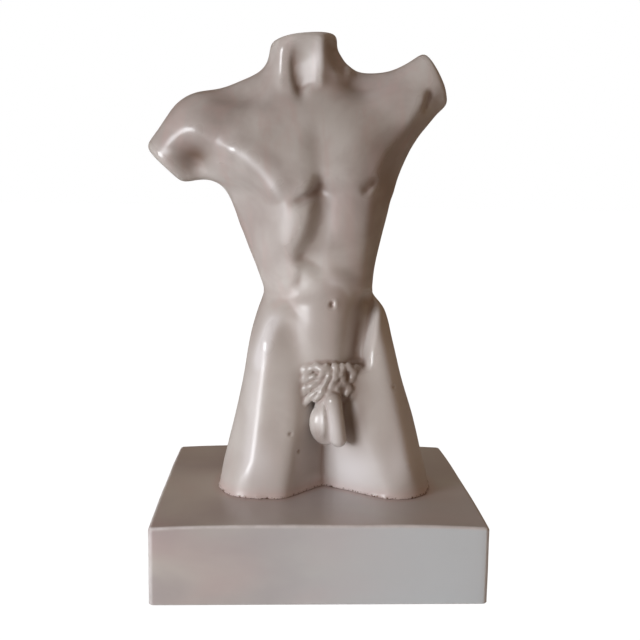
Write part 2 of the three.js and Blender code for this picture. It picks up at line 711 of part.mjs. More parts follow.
// True if moving corner a or b of a face to the target would turn it over or make it more of a sliver.
function turnsOver(points, face, a, b, target) {
  if (face.includes(a) && face.includes(b)) return false;
  const before = face.map((corner) => points[corner]);
  const after = face.map((corner) => (corner === a || corner === b ? target : points[corner]));
  const shapeBefore = faceNormal(normalBefore, ...before).length() / longestSide2(...before);
  const shapeAfter = faceNormal(normalAfter, ...after).length() / longestSide2(...after);
  if (shapeAfter < 0.1 && shapeAfter < shapeBefore) return true;
  return shapeBefore > 0.05 && normalAfter.normalize().dot(normalBefore.normalize()) < 0.3;
}

function longestSide2(a, b, c) {
  return Math.max(a.distanceToSquared(b), b.distanceToSquared(c), c.distanceToSquared(a));
}

function toGeometry(points, faces) {
  const geometry = new THREE.BufferGeometry();
  const positions = points.flatMap((p) => [p.x, p.y, p.z]);
  geometry.setAttribute("position", new THREE.Float32BufferAttribute(positions, 3));
  geometry.setIndex(faces.flat());
  return geometry;
}

function toSolid(geometry) {
  const bare = geometry.clone();
  bare.deleteAttribute("normal");
  bare.deleteAttribute("uv");
  const merged = mergeVertices(bare, 1e-4);
  return new wasm.Manifold(new wasm.Mesh({
    numProp: 3,
    vertProperties: new Float32Array(merged.attributes.position.array),
    triVerts: new Uint32Array(merged.index.array),
  }));
}

function fromSolid(solid) {
  const { vertProperties, triVerts, numProp } = solid.getMesh();
  const geometry = new THREE.BufferGeometry();
  const positions = [];
  for (let i = 0; i < vertProperties.length; i += numProp) {
    positions.push(vertProperties[i], vertProperties[i + 1], vertProperties[i + 2]);
  }
  geometry.setAttribute("position", new THREE.Float32BufferAttribute(positions, 3));
  geometry.setIndex(Array.from(triVerts));
  return geometry;
}

// The figure: its skin runs a little below the foot, and a level cut makes the flat seat there.
function torsoGeometry() {
  const form = figureForm();
  const { points, faces } = skin(form, [0, 1, 2].map(samplePlaces));
  settle(form, points, 2, GRID_STEP / 2);
  const thinned = thinOut(points, faces, FIGURE_FACES);
  settle(form, points, 1, GRID_STEP / 4);
  for (const p of points) p.multiplyScalar(UNIT);
  const used = [...new Set(thinned.flat())];
  const renumber = new Map(used.map((corner, n) => [corner, n]));
  const body = toGeometry(
    used.map((corner) => points[corner]),
    thinned.map((face) => face.map((corner) => renumber.get(corner))),
  );
  const room = new THREE.BoxGeometry(2 * FIGURE_HEIGHT, 2 * FIGURE_HEIGHT, 2 * FIGURE_HEIGHT);
  room.translate(0, 0, FIGURE_HEIGHT);
  return fromSolid(toSolid(body).intersect(toSolid(room)));
}

// One level outline of the plinth: a rectangle with round corners, set in from the full size.
function plinthOutline(inset) {
  const halfX = PLINTH_WIDTH / 2 - inset;
  const halfY = PLINTH_DEPTH / 2 - inset;
  const radius = Math.max(PLINTH_CORNER_RADIUS - inset, 0.4);
  const cornerSteps = 4;
  const sideSteps = 5;
  const outline = [];
  const corners = [[1, -1, -90], [1, 1, 0], [-1, 1, 90], [-1, -1, 180]];
  corners.forEach(([sx, sy, start], n) => {
    const arc = [];
    for (let i = 0; i <= cornerSteps; i += 1) {
      const angle = THREE.MathUtils.degToRad(start + (90 * i) / cornerSteps);
      const x = sx * (halfX - radius) + radius * Math.cos(angle);
      const y = sy * (halfY - radius) + radius * Math.sin(angle);
      arc.push(new THREE.Vector2(x, y));
    }
    outline.push(...arc);
    const [nextX, nextY, nextStart] = corners[(n + 1) % corners.length];
    const angle = THREE.MathUtils.degToRad(nextStart);
    const next = new THREE.Vector2(
      nextX * (halfX - radius) + radius * Math.cos(angle),
      nextY * (halfY - radius) + radius * Math.sin(angle),
    );
    for (let i = 1; i < sideSteps; i += 1) {
      outline.push(arc[cornerSteps].clone().lerp(next, i / sideSteps));
    }
  });
  return outline;
}

// How far the top has sunk at a place, by its distance from the nearest corner.
function droop(x, y) {
  const dx = PLINTH_WIDTH / 2 - Math.abs(x);
  const dy = PLINTH_DEPTH / 2 - Math.abs(y);
  const share = Math.max(1 - Math.hypot(dx, dy) / PLINTH_DROOP_REACH, 0);
  return PLINTH_CORNER_DROOP * share * share;
}

function plinthGeometry() {
  const rings = [];
  const arcSteps = 4;
  const addRing = (inset, height, sinks) => {
    const ring = plinthOutline(inset).map(({ x, y }) => {
      return new THREE.Vector3(x, y, height - sinks * droop(x, y));
    });
    rings.push(ring);
  };
  for (let i = 0; i <= 2; i += 1) {
    const angle = (Math.PI / 2) * (i / 2);
    const inset = PLINTH_FOOT_RADIUS * (1 - Math.sin(angle));
    addRing(inset, PLINTH_FOOT_RADIUS * (1 - Math.cos(angle)), 0);
  }
  for (let i = 0; i <= arcSteps; i += 1) {
    const angle = (Math.PI / 2) * (i / arcSteps);
    const inset = PLINTH_TOP_RADIUS * (1 - Math.cos(angle));
    addRing(inset, PLINTH_HEIGHT - PLINTH_TOP_RADIUS * (1 - Math.sin(angle)), 1);
  }
  const innerReach = PLINTH_DROOP_REACH * Math.SQRT1_2;
  for (let i = 1; i <= 3; i += 1) {
    const share = i / 3;
    addRing(PLINTH_TOP_RADIUS + (innerReach - PLINTH_TOP_RADIUS) * share, PLINTH_HEIGHT, i < 3 ? 1 : 0);
  }
  const count = rings[0].length;
  const points = rings.flat();
  const faces = [];
  for (let r = 0; r + 1 < rings.length; r += 1) {
    for (let i = 0; i < count; i += 1) {
      const a = r * count + i;
      const b = r * count + ((i + 1) % count);
      faces.push([a, b, b + count], [a, b + count, a + count]);
    }
  }
  const bottom = points.length;
  const top = bottom + 1;
  points.push(new THREE.Vector3(0, 0, 0), new THREE.Vector3(0, 0, PLINTH_HEIGHT));
  const lastRing = (rings.length - 1) * count;
  for (let i = 0; i < count; i += 1) {
    const next = (i + 1) % count;
    faces.push([bottom, next, i], [top, lastRing + i, lastRing + next]);
  }
  return toGeometry(points, faces);
}

function piece(name, geometry, colour, roughness) {
  const material = new THREE.MeshStandardMaterial({ color: colour, roughness, metalness: 0 });
  const mesh = new THREE.Mesh(geometry, material);
  mesh.name = name;
  return mesh;
}

const sculpture = new THREE.Group();

const plinth = piece("plinth", plinthGeometry(), 0xa79b95, 0.3);
sculpture.add(plinth);

const torso = piece("torso", torsoGeometry(), 0xb9ada6, 0.22);
torso.position.z = PLINTH_HEIGHT;
sculpture.add(torso);

export default sculpture;
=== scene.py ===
import math

import bpy
import numpy as np
from mathutils import Matrix, Vector


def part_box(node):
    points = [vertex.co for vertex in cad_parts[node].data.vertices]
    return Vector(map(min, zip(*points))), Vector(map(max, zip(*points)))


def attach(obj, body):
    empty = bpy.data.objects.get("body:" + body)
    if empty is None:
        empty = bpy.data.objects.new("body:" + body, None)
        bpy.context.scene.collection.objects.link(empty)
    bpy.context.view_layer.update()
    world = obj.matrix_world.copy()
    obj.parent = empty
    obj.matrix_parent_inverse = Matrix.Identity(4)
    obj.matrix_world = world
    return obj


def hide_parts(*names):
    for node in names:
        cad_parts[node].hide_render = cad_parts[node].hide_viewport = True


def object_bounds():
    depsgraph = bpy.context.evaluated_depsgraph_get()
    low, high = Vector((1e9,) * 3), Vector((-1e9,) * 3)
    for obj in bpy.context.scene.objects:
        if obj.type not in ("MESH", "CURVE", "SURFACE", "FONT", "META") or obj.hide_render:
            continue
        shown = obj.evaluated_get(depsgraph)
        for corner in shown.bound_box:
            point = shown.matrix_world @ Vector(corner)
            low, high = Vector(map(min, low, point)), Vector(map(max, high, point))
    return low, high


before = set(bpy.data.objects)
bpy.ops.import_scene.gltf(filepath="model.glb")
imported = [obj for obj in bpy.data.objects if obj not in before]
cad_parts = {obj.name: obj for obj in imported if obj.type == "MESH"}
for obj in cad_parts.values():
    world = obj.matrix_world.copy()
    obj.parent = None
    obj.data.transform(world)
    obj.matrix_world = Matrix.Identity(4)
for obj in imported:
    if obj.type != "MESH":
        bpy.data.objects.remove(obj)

CAD_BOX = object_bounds()
MM = 0.001

# The figure is laid out in parts of its height, 364 to the whole, above the middle of the plinth's top.
FIGURE_HEIGHT = 364 * MM
PARTS_IN_HEIGHT = 364
PART = FIGURE_HEIGHT / PARTS_IN_HEIGHT
PLINTH_LOW, PLINTH_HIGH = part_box("plinth")
PLINTH_TOP = PLINTH_HIGH.z

TORSO_STEP = 1.53  # parts between the points of the fine skin
TORSO_COARSE = 4  # fine steps in one coarse step of the first look
SKIN_LOW = (-142, -64, -2.9)  # corners of the box, in parts, that holds the figure
SKIN_HIGH = (108, 62, 370)
POINTS_AT_ONCE = 200000  # worked out in one go, to save memory
END_ROUNDING = 12  # parts, where an upright body ends
RELIEF_REACH = 16  # parts from the plain form within which relief is worked out
FINE_ROUNDS = 6  # of evening out, against which fine relief is measured
BROAD_ROUNDS = 60
FINE_RANGE = 1.0  # parts of relief that span the whole attribute
BROAD_RANGE = 8.0
THIGH_PINHOLES = [(-15.5, 36.4), (-22, 51), (60, 88)]  # x and z in parts

# The plinth, in millimetres
PLINTH_STEP = 4  # between the lines of its skin, which lie closer at the edges and the pinholes
PLINTH_CORNER_RADIUS = 4
PLINTH_TOP_RADIUS = 3
PLINTH_FOOT_RADIUS = 1.5
PLINTH_DROOP = 2.2  # how far the top sinks at its corners
PLINTH_DROOP_REACH = 72
PLINTH_WAVE = 0.22  # how far its faces sink in places
PINHOLES = [(-97.3, 23.7), (-88.6, 20.6), (-81.4, 17.5), (-26.3, 8.1), (110, 7.5)]  # x and z, in front
PINHOLE_RADIUS = 1.0
PINHOLE_DEPTH = 1.3
NARROWEST_GAP = 0.3  # between two lines of the plinth's skin
EDGE_WEAR_SPREAD = 0.45  # radians to each side of the middle of a round edge
CORNER_WEAR = 0.35  # of the upright edges, as a share of the wear at the top and foot


# Small tools for forms: each gives a distance that is negative inside the form.

def smooth_min(a, b, width):
    overlap = np.maximum(width - np.abs(a - b), 0) / width
    return np.minimum(a, b) - overlap ** 3 * width / 6


def smooth_max(a, b, width):
    return -smooth_min(-a, -b, width)


def smooth_step(start, end, value):
    t = np.clip((value - start) / (end - start), 0, 1)
    return t * t * (3 - 2 * t)


def profile(stations, height):
    """A smooth run of values through the stations, which start with their height."""
    table = np.array(stations, float)
    z, values = table[:, 0], table[:, 1:]
    slopes = np.empty_like(values)
    slopes[1:-1] = (values[2:] - values[:-2]) / (z[2:] - z[:-2])[:, None]
    slopes[0] = (values[1] - values[0]) / (z[1] - z[0])
    slopes[-1] = (values[-1] - values[-2]) / (z[-1] - z[-2])
    height = np.clip(height, z[0], z[-1])
    i = np.clip(np.searchsorted(z, height, side="right") - 1, 0, len(z) - 2)
    run = (z[i + 1] - z[i])[:, None]
    t = ((height - z[i]) / (z[i + 1] - z[i]))[:, None]
    start = (2 * t ** 3 - 3 * t ** 2 + 1) * values[i]
    leave = (t ** 3 - 2 * t ** 2 + t) * run * slopes[i]
    end = (3 * t ** 2 - 2 * t ** 3) * values[i + 1]
    arrive = (t ** 3 - t ** 2) * run * slopes[i + 1]
    return start + leave + end + arrive


def loft(points, stations, power):
    """An upright body whose level section is a rounded rectangle, squarer with a higher power."""
    left, right, front, back = profile(stations, points[:, 2]).T
    dx = points[:, 0] - (left + right) / 2
    dy = points[:, 1] - (front + back) / 2
    u = np.abs(dx) / ((right - left) / 2)
    v = np.abs(dy) / ((back - front) / 2)
    ratio = np.maximum((u ** power + v ** power) ** (1 / power), 0.05)
    side = np.hypot(dx, dy) * (1 - 1 / ratio)
    ends = np.maximum(stations[0][0] - points[:, 2], points[:, 2] - stations[-1][0])
    return smooth_max(side, ends, END_ROUNDING)


def bone(points, a, b, radius_a, radius_b, flatness=1.0):
    """A round cone with ball ends, from a to b, its depth times flatness."""
    squeeze = np.array([1, 1 / flatness, 1])
    offset = (points - np.array(a, float)) * squeeze
    axis = (np.array(b, float) - np.array(a, float)) * squeeze
    length2 = axis @ axis
    taper = radius_a - radius_b
    slant2 = length2 - taper * taper
    along = offset @ axis
    past = along - length2
    across2 = ((offset * length2 - along[:, None] * axis) ** 2).sum(1)
    lean = math.copysign(taper * taper, taper) * across2
    middle = (np.sqrt(across2 * slant2 / length2) + along * taper) / length2 - radius_a
    start = np.sqrt(across2 + along * along * length2) / length2 - radius_a
    end = np.sqrt(across2 + past * past * length2) / length2 - radius_b
    distance = np.where(np.sign(along) * slant2 * along * along * length2 < lean, start, middle)
    distance = np.where(np.sign(past) * slant2 * past * past * length2 > lean, end, distance)
    return distance * math.sqrt(min(flatness, 1))


def ellipsoid(points, centre, radii, tilt=0.0):
    """An ellipsoid, turned in the front plane by tilt degrees."""
    cosine, sine = math.cos(math.radians(tilt)), math.sin(math.radians(tilt))
    dx, dy, dz = (points - np.array(centre, float)).T
    turned = np.stack([dx * cosine + dz * sine, dy, dz * cosine - dx * sine], 1) / np.array(radii, float)
    size = np.linalg.norm(turned, axis=1)
    slope = np.linalg.norm(turned / np.array(radii, float), axis=1) + 1e-9
    return size * (size - 1) / slope


def plane(points, point, direction):
    normal = np.array(direction, float)
    normal /= np.linalg.norm(normal)
    return (points - np.array(point, float)) @ normal


# Small tools for relief: each gives how far the skin is raised at a place seen from the front, x and z.

def smooth_line(knots, steps):
    """Points along a smooth line through the knots, so many to each stretch."""
    p = np.array(knots, float)
    p = np.vstack([2 * p[0] - p[1], p, 2 * p[-1] - p[-2]])
    line = []
    for before, start, end, after in zip(p, p[1:], p[2:], p[3:]):
        for t in np.arange(steps) / steps:
            line.append(0.5 * (2 * start + (end - before) * t
                               + (2 * before - 5 * start + 4 * end - after) * t ** 2
                               + (3 * start - before - 3 * end + after) * t ** 3))
    line.append(p[-2])
    return np.array(line)


def crease(x, z, knots, left, right, height, fade=0.25):
    """A ridge, or a groove where height is negative. Its flanks have a width each, left and right of
    the line as it runs, and it fades out over a share of each end."""
    line = smooth_line(knots, 5)
    margin = 3 * max(left, right)
    low, high = line.min(0) - margin, line.max(0) + margin
    raised = np.zeros(len(x))
    near = np.nonzero((x > low[0]) & (x < high[0]) & (z > low[1]) & (z < high[1]))[0]
    if len(near) == 0:
        return raised
    px, pz = x[near], z[near]
    nearest = np.full(len(near), np.inf)
    share = np.zeros(len(near))
    width = np.zeros(len(near))
    count = len(line) - 1
    for i, (start, end) in enumerate(zip(line, line[1:])):
        ax, az = end - start
        dx, dz = px - start[0], pz - start[1]
        t = np.clip((dx * ax + dz * az) / (ax * ax + az * az), 0, 1)
        distance2 = (dx - t * ax) ** 2 + (dz - t * az) ** 2
        closer = distance2 < nearest
        nearest = np.where(closer, distance2, nearest)
        share = np.where(closer, (i + t) / count, share)
        width = np.where(closer, np.where(ax * dz - az * dx > 0, left, right), width)
    ends = smooth_step(0, fade, share) * smooth_step(0, fade, 1 - share)
    raised[near] = height * ends * np.exp(-nearest / width ** 2)
    return raised


def swelling(x, z, centre_x, centre_z, radius_x, radius_z, height, tilt=0.0):
    """A soft swelling, or a hollow where height is negative, turned by tilt degrees."""
    cosine, sine = math.cos(math.radians(tilt)), math.sin(math.radians(tilt))
    u = ((x - centre_x) * cosine + (z - centre_z) * sine) / radius_x
    v = ((z - centre_z) * cosine - (x - centre_x) * sine) / radius_z
    return height * np.exp(-u * u - v * v)


# Upright profiles of the body: height, then how far it reaches left, right, front and back
TRUNK = [
    (110, -36, 42, -30, 30),
    (135, -40, 43, -31, 29),
    (158, -43.2, 44.4, -32, 28),
    (180, -51, 46, -35.5, 30),
    (204, -60.7, 51.2, -39, 34),
    (228, -65.4, 57.4, -41, 38),
    (250, -68, 61, -42, 41),
    (275, -71, 64, -40, 42),
    (298, -70, 58, -33, 38),
    (316, -50, 34, -23, 31),
    (330, -34, 10, -14, 26),
]
NECK = [
    (296, -46, 20, -16, 34),
    (315, -44, 17, -18, 32),
    (335, -42, 24, -22, 28),
    (345, -41.2, 18.5, -24, 27),
    (355, -40.3, 13.6, -26, 26),
    (372, -39, 10.5, -28, 24),
]
PELVIS = [
    (-8, -60, 78, -15, 31),
    (30, -60, 72, -17, 34),
    (70, -60, 66, -21, 38),
    (100, -56, 60, -27, 39),
    (125, -52.5, 57.5, -29, 38),
    (145, -47.6, 53.5, -28, 33),
    (157, -42.8, 46.5, -25, 28),
    (168, -36, 36, -20, 24),
]
LEFT_THIGH = [
    (-8, -80.5, 8, -52, 36),
    (20, -76, 7, -50, 37),
    (55, -67.6, 3, -46, 39),
    (90, -59.2, -3, -41, 39),
    (120, -53.8, -8, -36, 37),
    (145, -46.5, -14, -25.5, 32),
    (170, -36, -18, -4, 23),
]
RIGHT_THIGH = [
    (-8, 2, 95, -55, 36),
    (20, 4, 90.4, -52, 37),
    (55, 9, 82, -47, 39),
    (90, 14, 70.4, -42, 39),
    (120, 19, 62.4, -38, 37),
    (145, 25, 54.5, -28, 32),
    (158, 28, 43, -14, 24),
]
BELLY = [
    (98, -20, 32, -38.5, 0),
    (118, -24, 30, -40, 0),
    (138, -24, 28, -41, 0),
    (152, -20, 27, -40, 0),
    (162, -10, 24, -37, 0),
    (173, 1, 17, -30, 0),
]


# Lines of the carving, x and z seen from the front
NECK_GROOVE = [(-20, 357), (-21.5, 341), (-20.6, 329), (-18, 320), (-14, 313)]
COLLAR_LINE = [(-98, 313.5), (-82, 310.6), (-67, 309), (-53, 310), (-38, 313)]
CHEST_EDGE = [(-82, 279), (-69, 271.5), (-56, 263.5), (-45, 253), (-35, 242.5), (-29, 231)]
CHEST_FOLD = [(-96, 263.5), (-82, 262), (-70, 258.5), (-56, 250), (-42, 240.5), (-32, 232)]
FURROW = [(1, 262), (1.5, 240), (2, 224), (-0.5, 211), (-6, 200), (-13, 189), (-19, 179)]


def front_relief(x, z):
    """What is carved into the front."""
    neck = (
        crease(x, z, [(-31, 358), (-32.5, 338), (-31.5, 314)], 5, 5, 1.8)
        + crease(x, z, NECK_GROOVE, 11, 3.4, -3.8, 0.3)
        + crease(x, z, [(0.5, 364), (-0.5, 344), (-1.5, 318)], 5, 8, 3, 0.2)
        + swelling(x, z, -16, 316, 4.5, 6, -3)
        + crease(x, z, COLLAR_LINE, 2.4, 3.6, -0.6, 0.4)
        + swelling(x, z, -66, 303, 20, 8, 1.8)
        + crease(x, z, [(8, 360), (10.5, 349), (15, 339), (23, 333)], 6, 5, -4.6, 0.3)
        + crease(x, z, [(9, 320), (28, 319), (51, 323.5), (66, 329)], 4, 4, -0.8, 0.4)
    )
    chest = (
        swelling(x, z, -42, 268, 32, 17, 3.2, -33)
        + swelling(x, z, 26, 268, 14, 28, 2.4, -24)
        + crease(x, z, CHEST_EDGE, 13, 8.5, 4.6, 0.25)
        + crease(x, z, CHEST_FOLD, 4, 6, 1.6, 0.3)
        + crease(x, z, [(-28, 231), (-16.4, 234), (-9, 237.4), (-4, 241.4), (0, 249)], 3.4, 5, -3.6, 0.3)
        + swelling(x, z, -13, 244, 9, 6, 1.8, 25)
        + swelling(x, z, 0, 247, 5, 10, -3, 10)
        + crease(x, z, [(34, 246), (52, 273), (64, 287), (76, 304), (84, 320)], 9, 5, 1.8, 0.15)
        + crease(x, z, [(45, 253), (38, 245.5), (30, 238)], 3, 4, -2.6, 0.35)
        + crease(x, z, [(-7, 300), (-4, 274), (-1, 252)], 9, 9, -1.8, 0.4)
        + swelling(x, z, -98, 266, 15, 12, -10.5, -15)
        + crease(x, z, [(85.5, 323), (84.5, 313), (80, 302)], 3.2, 3, -3.4, 0.4)
    )
    waist = (
        crease(x, z, [(-10, 245), (-11.5, 226), (-15, 211), (-21, 197), (-28, 185)], 9.5, 18, 2.4, 0.25)
        + crease(x, z, FURROW, 18, 9, -7.2, 0.2)
        + swelling(x, z, 13, 221, 9, 12, 1.6)
        + crease(x, z, [(-11, 184), (-15, 174), (-21, 162)], 6, 3.4, -1.6, 0.4)
    )
    thighs = (
        crease(x, z, [(-17, 156), (-17, 140), (-20, 112), (-20, 86)], 10, 10, -1.6, 0.4)
        + crease(x, z, [(47, 162), (42, 146), (37.5, 130), (34.5, 113), (36, 99)], 4.5, 12, -12, 0.2)
        + crease(x, z, [(-23, 154), (-29, 147), (-37, 137), (-43, 122), (-47, 105)], 18, 7.5, 3, 0.3)
        + crease(x, z, LEFT_RIDGE, 12, 11, 1.4, 0.2)
        + crease(x, z, RIGHT_RIDGE, 6, 9, 1.5, 0.15)
    )
    return neck + chest + waist + thighs


def back_relief(x, z):
    """What is carved into the back, plainer than the front."""
    return (
        crease(x, z, [(-14, 318), (-10, 270), (-3, 215), (2, 170), (4, 128)], 9, 9, -3.4, 0.25)
        + swelling(x, z, -44, 280, 18, 24, 3, 15)
        + swelling(x, z, 34, 284, 18, 25, 3, -30)
        + crease(x, z, [(-28, 296), (-26, 274), (-36, 254), (-56, 244)], 7, 7, -1.4, 0.4)
        + crease(x, z, [(10, 300), (14, 276), (28, 256), (50, 248)], 7, 7, -1.4, 0.4)
        + crease(x, z, [(4, 138), (4, 100), (3, 60)], 8, 8, -5, 0.5)
        + crease(x, z, [(-48, 70), (-28, 64), (-4, 68)], 8, 6, -2.6, 0.4)
        + crease(x, z, [(10, 68), (34, 64), (56, 70)], 8, 6, -2.6, 0.4)
        + swelling(x, z, -10, 140, 5, 5, -1.2)
        + swelling(x, z, 16, 140, 5, 5, -1.2)
    )


# The carved locks of hair: x and z of the root, the bend and the tip of each, and its radius at the bend
LOCKS = [
    ((-9.5, 92), (-9.5, 101), (-2, 104), 3.8),
    ((-2, 104), (4.2, 102.5), (1.5, 96), 3.8),
    ((-12, 84), (-10.5, 93), (-3, 96.5), 3.7),
    ((-12.5, 78), (-9.5, 86), (-2, 90.5), 3.6),
    ((-10, 74.5), (-5.5, 80), (0.5, 86), 3.2),
    ((6.5, 104.5), (8.4, 98), (5, 90.5), 3.4),
    ((13, 104.8), (13.6, 97), (11, 90.5), 3.8),
    ((19, 104.8), (17.5, 98), (21, 91), 3.6),
    ((23, 104.5), (28, 100.5), (26, 93), 3.8),
    ((29.5, 103), (35, 98), (33, 90), 4.1),
    ((34.5, 92), (34, 85), (30, 79), 3.7),
    ((28.5, 92), (30, 86), (27, 80), 3.1),
    ((22, 91), (25, 86), (22, 81.5), 3.2),
    ((18, 92), (14.5, 87), (16.5, 82), 3),
    ((12.5, 91), (8.5, 84), (4.5, 76), 3.2),
    ((5.5, 91), (2.8, 84), (-2.5, 77), 3.2),
]
HAIR_MIDDLE = 11.5


def hair_front(x, z):
    return -42 + 9 * ((x - HAIR_MIDDLE) / 25) ** 2 - 0.02 * (100 - z)


def lock_bones():
    """The two tapering bones of each lock."""
    bones = []
    for root, bend, tip, radius in LOCKS:
        a, b, c = [(x, hair_front(x, z) - 0.5 * n, z) for n, (x, z) in enumerate((root, bend, tip))]
        bones.append((a, b, 0.85 * radius, radius))
        bones.append((b, c, radius, 0.6 * radius))
    return bones


def curls(x, z):
    """The uneven surface of the locks: small bumps and dents."""
    bend = 1.2 * np.sin(0.45 * z + 0.25 * x)
    return 0.3 * np.sin(1.0 * x + bend) * np.sin(0.9 * z + 0.9 * np.sin(0.5 * x))


def hair_share(x, z):
    """1 in the hair and 0 outside it, seen from the front."""
    reach = np.hypot((x - HAIR_MIDDLE) / 29, (z - 92) / 22)
    return smooth_step(1.0, 0.8, reach)


def groin(points):
    distance = ellipsoid(points, (11, -29, 90), (24.5, 15, 18))
    for start, end, radius_start, radius_end in lock_bones():
        distance = smooth_min(distance, bone(points, start, end, radius_start, radius_end), 1.2)
    x, z = points[:, 0], points[:, 2]
    body = smooth_min(
        bone(points, (8, -34, 78), (8, -36, 57), 9.5, 12.5),
        ellipsoid(points, (6.4, -39.5, 58.4), (13.2, 9.5, 17.4), 3),
        3,
    )
    body = smooth_min(body, bone(points, (12, -45, 78), (16.4, -46, 47.6), 6.6, 6.6), 3)
    body = body - crease(x, z, [(3.4, 78), (4.4, 62), (3.6, 45)], 1.3, 1.6, 1.2, 0.2)
    body = body + crease(x, z, [(7, 77), (8, 62), (8.2, 43)], 1.5, 1.7, 0.5, 0.15)
    return smooth_min(distance + curls(x, z) * hair_share(x, z), body, 2)


def left_arm(points):
    arm = smooth_min(
        bone(points, (-92, 0, 284), (-117.5, -2, 266.5), 32.5, 21.8, 0.94),
        bone(points, (-50, -5, 272), (-88, -3, 282), 33, 30, 0.98),
        14,
    )
    return smooth_max(arm, plane(points, (-125, 0, 260), (-0.7, 0, -0.716)), 9)


def right_arm(points):
    arm = bone(points, (48, 2, 294), (102, 0, 341), 29, 20.5)
    return smooth_max(arm, plane(points, (93, 0, 333), (0.88, 0, 0.47)), 9)


def thigh(points, stations, inner, outer, foot):
    """A thigh whose inner side is cut back, so that a valley opens between the legs. Its outer side is
    a flatter plane that meets the front in a ridge and flares out, by so much, at the foot."""
    body = smooth_max(loft(points, stations, 2.8), plane(points, *inner), 9)
    flare = foot * smooth_step(34, 0, points[:, 2])
    return smooth_max(body, plane(points, *outer) - flare, 11)


def trunk(points):
    """The trunk with the neck, the shoulders and the stumps of the arms."""
    side = plane(points, (-30, -41, 225), (-0.7, -0.71, -0.16))
    body = smooth_max(loft(points, TRUNK, 2.7), side, 18)
    body = smooth_min(body, loft(points, NECK, 2.45), 20)
    body = smooth_min(body, bone(points, (-26, 10, 322), (-88, 4, 297.4), 21, 18, 0.95), 18)
    body = smooth_min(body, bone(points, (-4, 10, 322), (62, 4, 318), 15, 17, 0.95), 18)
    body = smooth_min(body, bone(points, (-68, 4, 264), (-50, 4, 222), 15.5, 14), 12)
    body = smooth_min(body, left_arm(points), 16)
    body = smooth_min(body, right_arm(points), 16)
    body = smooth_min(body, bone(points, (62, 4, 286), (53, 4, 246), 13, 8), 12)
    low_flank = plane(points, (38, -35, 215), (0.87, -0.48, -0.12))
    high_flank = plane(points, (63, -26, 287), (0.72, -0.53, -0.42))
    under_arm = plane(points, (86.4, -18.8, 317.8), (0.3, -0.55, -0.78))
    flank = smooth_min(smooth_min(low_flank, high_flank, 6), under_arm, 4)
    return smooth_max(body, flank, 6)


# Where the front and the outer side of each thigh meet, seen from the front
LEFT_RIDGE = [
    (-28, 149), (-38, 136), (-44.5, 118), (-48.5, 96), (-51, 69), (-52.5, 44), (-56, 24), (-61, 6),
]
RIGHT_RIDGE = [
    (47, 140), (54, 117), (58.7, 101), (62.4, 78), (65.3, 62), (69, 47), (72.6, 26), (77.2, 6),
]


def figure(points):
    """The whole figure: negative inside, in parts."""
    x, y, z = points.T
    distance = smooth_min(trunk(points), loft(points, PELVIS, 2.6), 7)
    left_inner = ((-11, -34.5, 0), (0.76, -0.65, -0.06))
    left_outer = ((-50.5, -44, 69), (-0.87, -0.46, 0.13))
    right_inner = ((27, -31.5, 0), (-0.6, -0.79, -0.12))
    right_outer = ((67.5, -44, 62), (0.93, -0.36, 0.245))
    legs = smooth_min(
        thigh(points, LEFT_THIGH, left_inner, left_outer, 12),
        thigh(points, RIGHT_THIGH, right_inner, right_outer, 6),
        2,
    )
    distance = smooth_min(distance, legs, 10)
    distance = smooth_min(distance, ellipsoid(points, (-24, 18, 97), (29, 28, 37), -8), 16)
    distance = smooth_min(distance, ellipsoid(points, (32, 18, 97), (30, 28, 37), 8), 16)
    distance = smooth_min(distance, loft(points, BELLY, 2.1), 22)
    near = np.abs(distance) < RELIEF_REACH
    front = near & (y < 10)
    distance[front] -= smooth_step(10, -14, y[front]) * front_relief(x[front], z[front])
    back = near & (y > 0)
    distance[back] -= smooth_step(4, 22, y[back]) * back_relief(x[back], z[back])
    neck_top = plane(points, (-22, 0, 361.4), (-0.075, 0, 0.997))
    neck_corner = plane(points, (-22, 0, 361.9), (-0.27, 0, 0.963))
    distance = smooth_max(distance, smooth_max(neck_top, neck_corner, 4), 8)
    hair = (np.abs(x - 11) < 45) & (np.abs(z - 74) < 60) & (y < -5)
    distance[hair] = smooth_min(distance[hair], groin(points[hair]), 3)
    navel = (np.abs(x - 10) < 10) & (np.abs(z - 154) < 10) & (y < 0)
    distance[navel] -= swelling(x[navel], z[navel], 9.7, 153.5, 1.7, 2.3, -2.6)
    distance[navel] -= swelling(x[navel], z[navel], 13, 154, 2.4, 3.6, 0.8)
    return distance


def seated_figure(points):
    """The figure ends on the plinth in an uneven bead, where the glaze has run down and stopped."""
    x, y, z = points.T
    distance = figure(points)
    low = z < 8
    unevenness = np.sin(0.31 * x[low] + 1.7 * np.sin(0.13 * x[low])) * np.sin(0.27 * y[low] + 0.5)
    distance[low] -= (0.9 + 0.6 * unevenness) * np.exp(-((z[low] - 0.8) / 1.7) ** 2)
    for pin_x, pin_z in THIGH_PINHOLES:
        near = (np.hypot(x - pin_x, z - pin_z) < 4) & (y < -10)
        distance[near] -= swelling(x[near], z[near], pin_x, pin_z, 1.2, 1.2, -1.6)
    return smooth_max(distance, -z, 1.2)


# Skins: a net of points over a form's surface, one in each grid cell that the surface crosses.

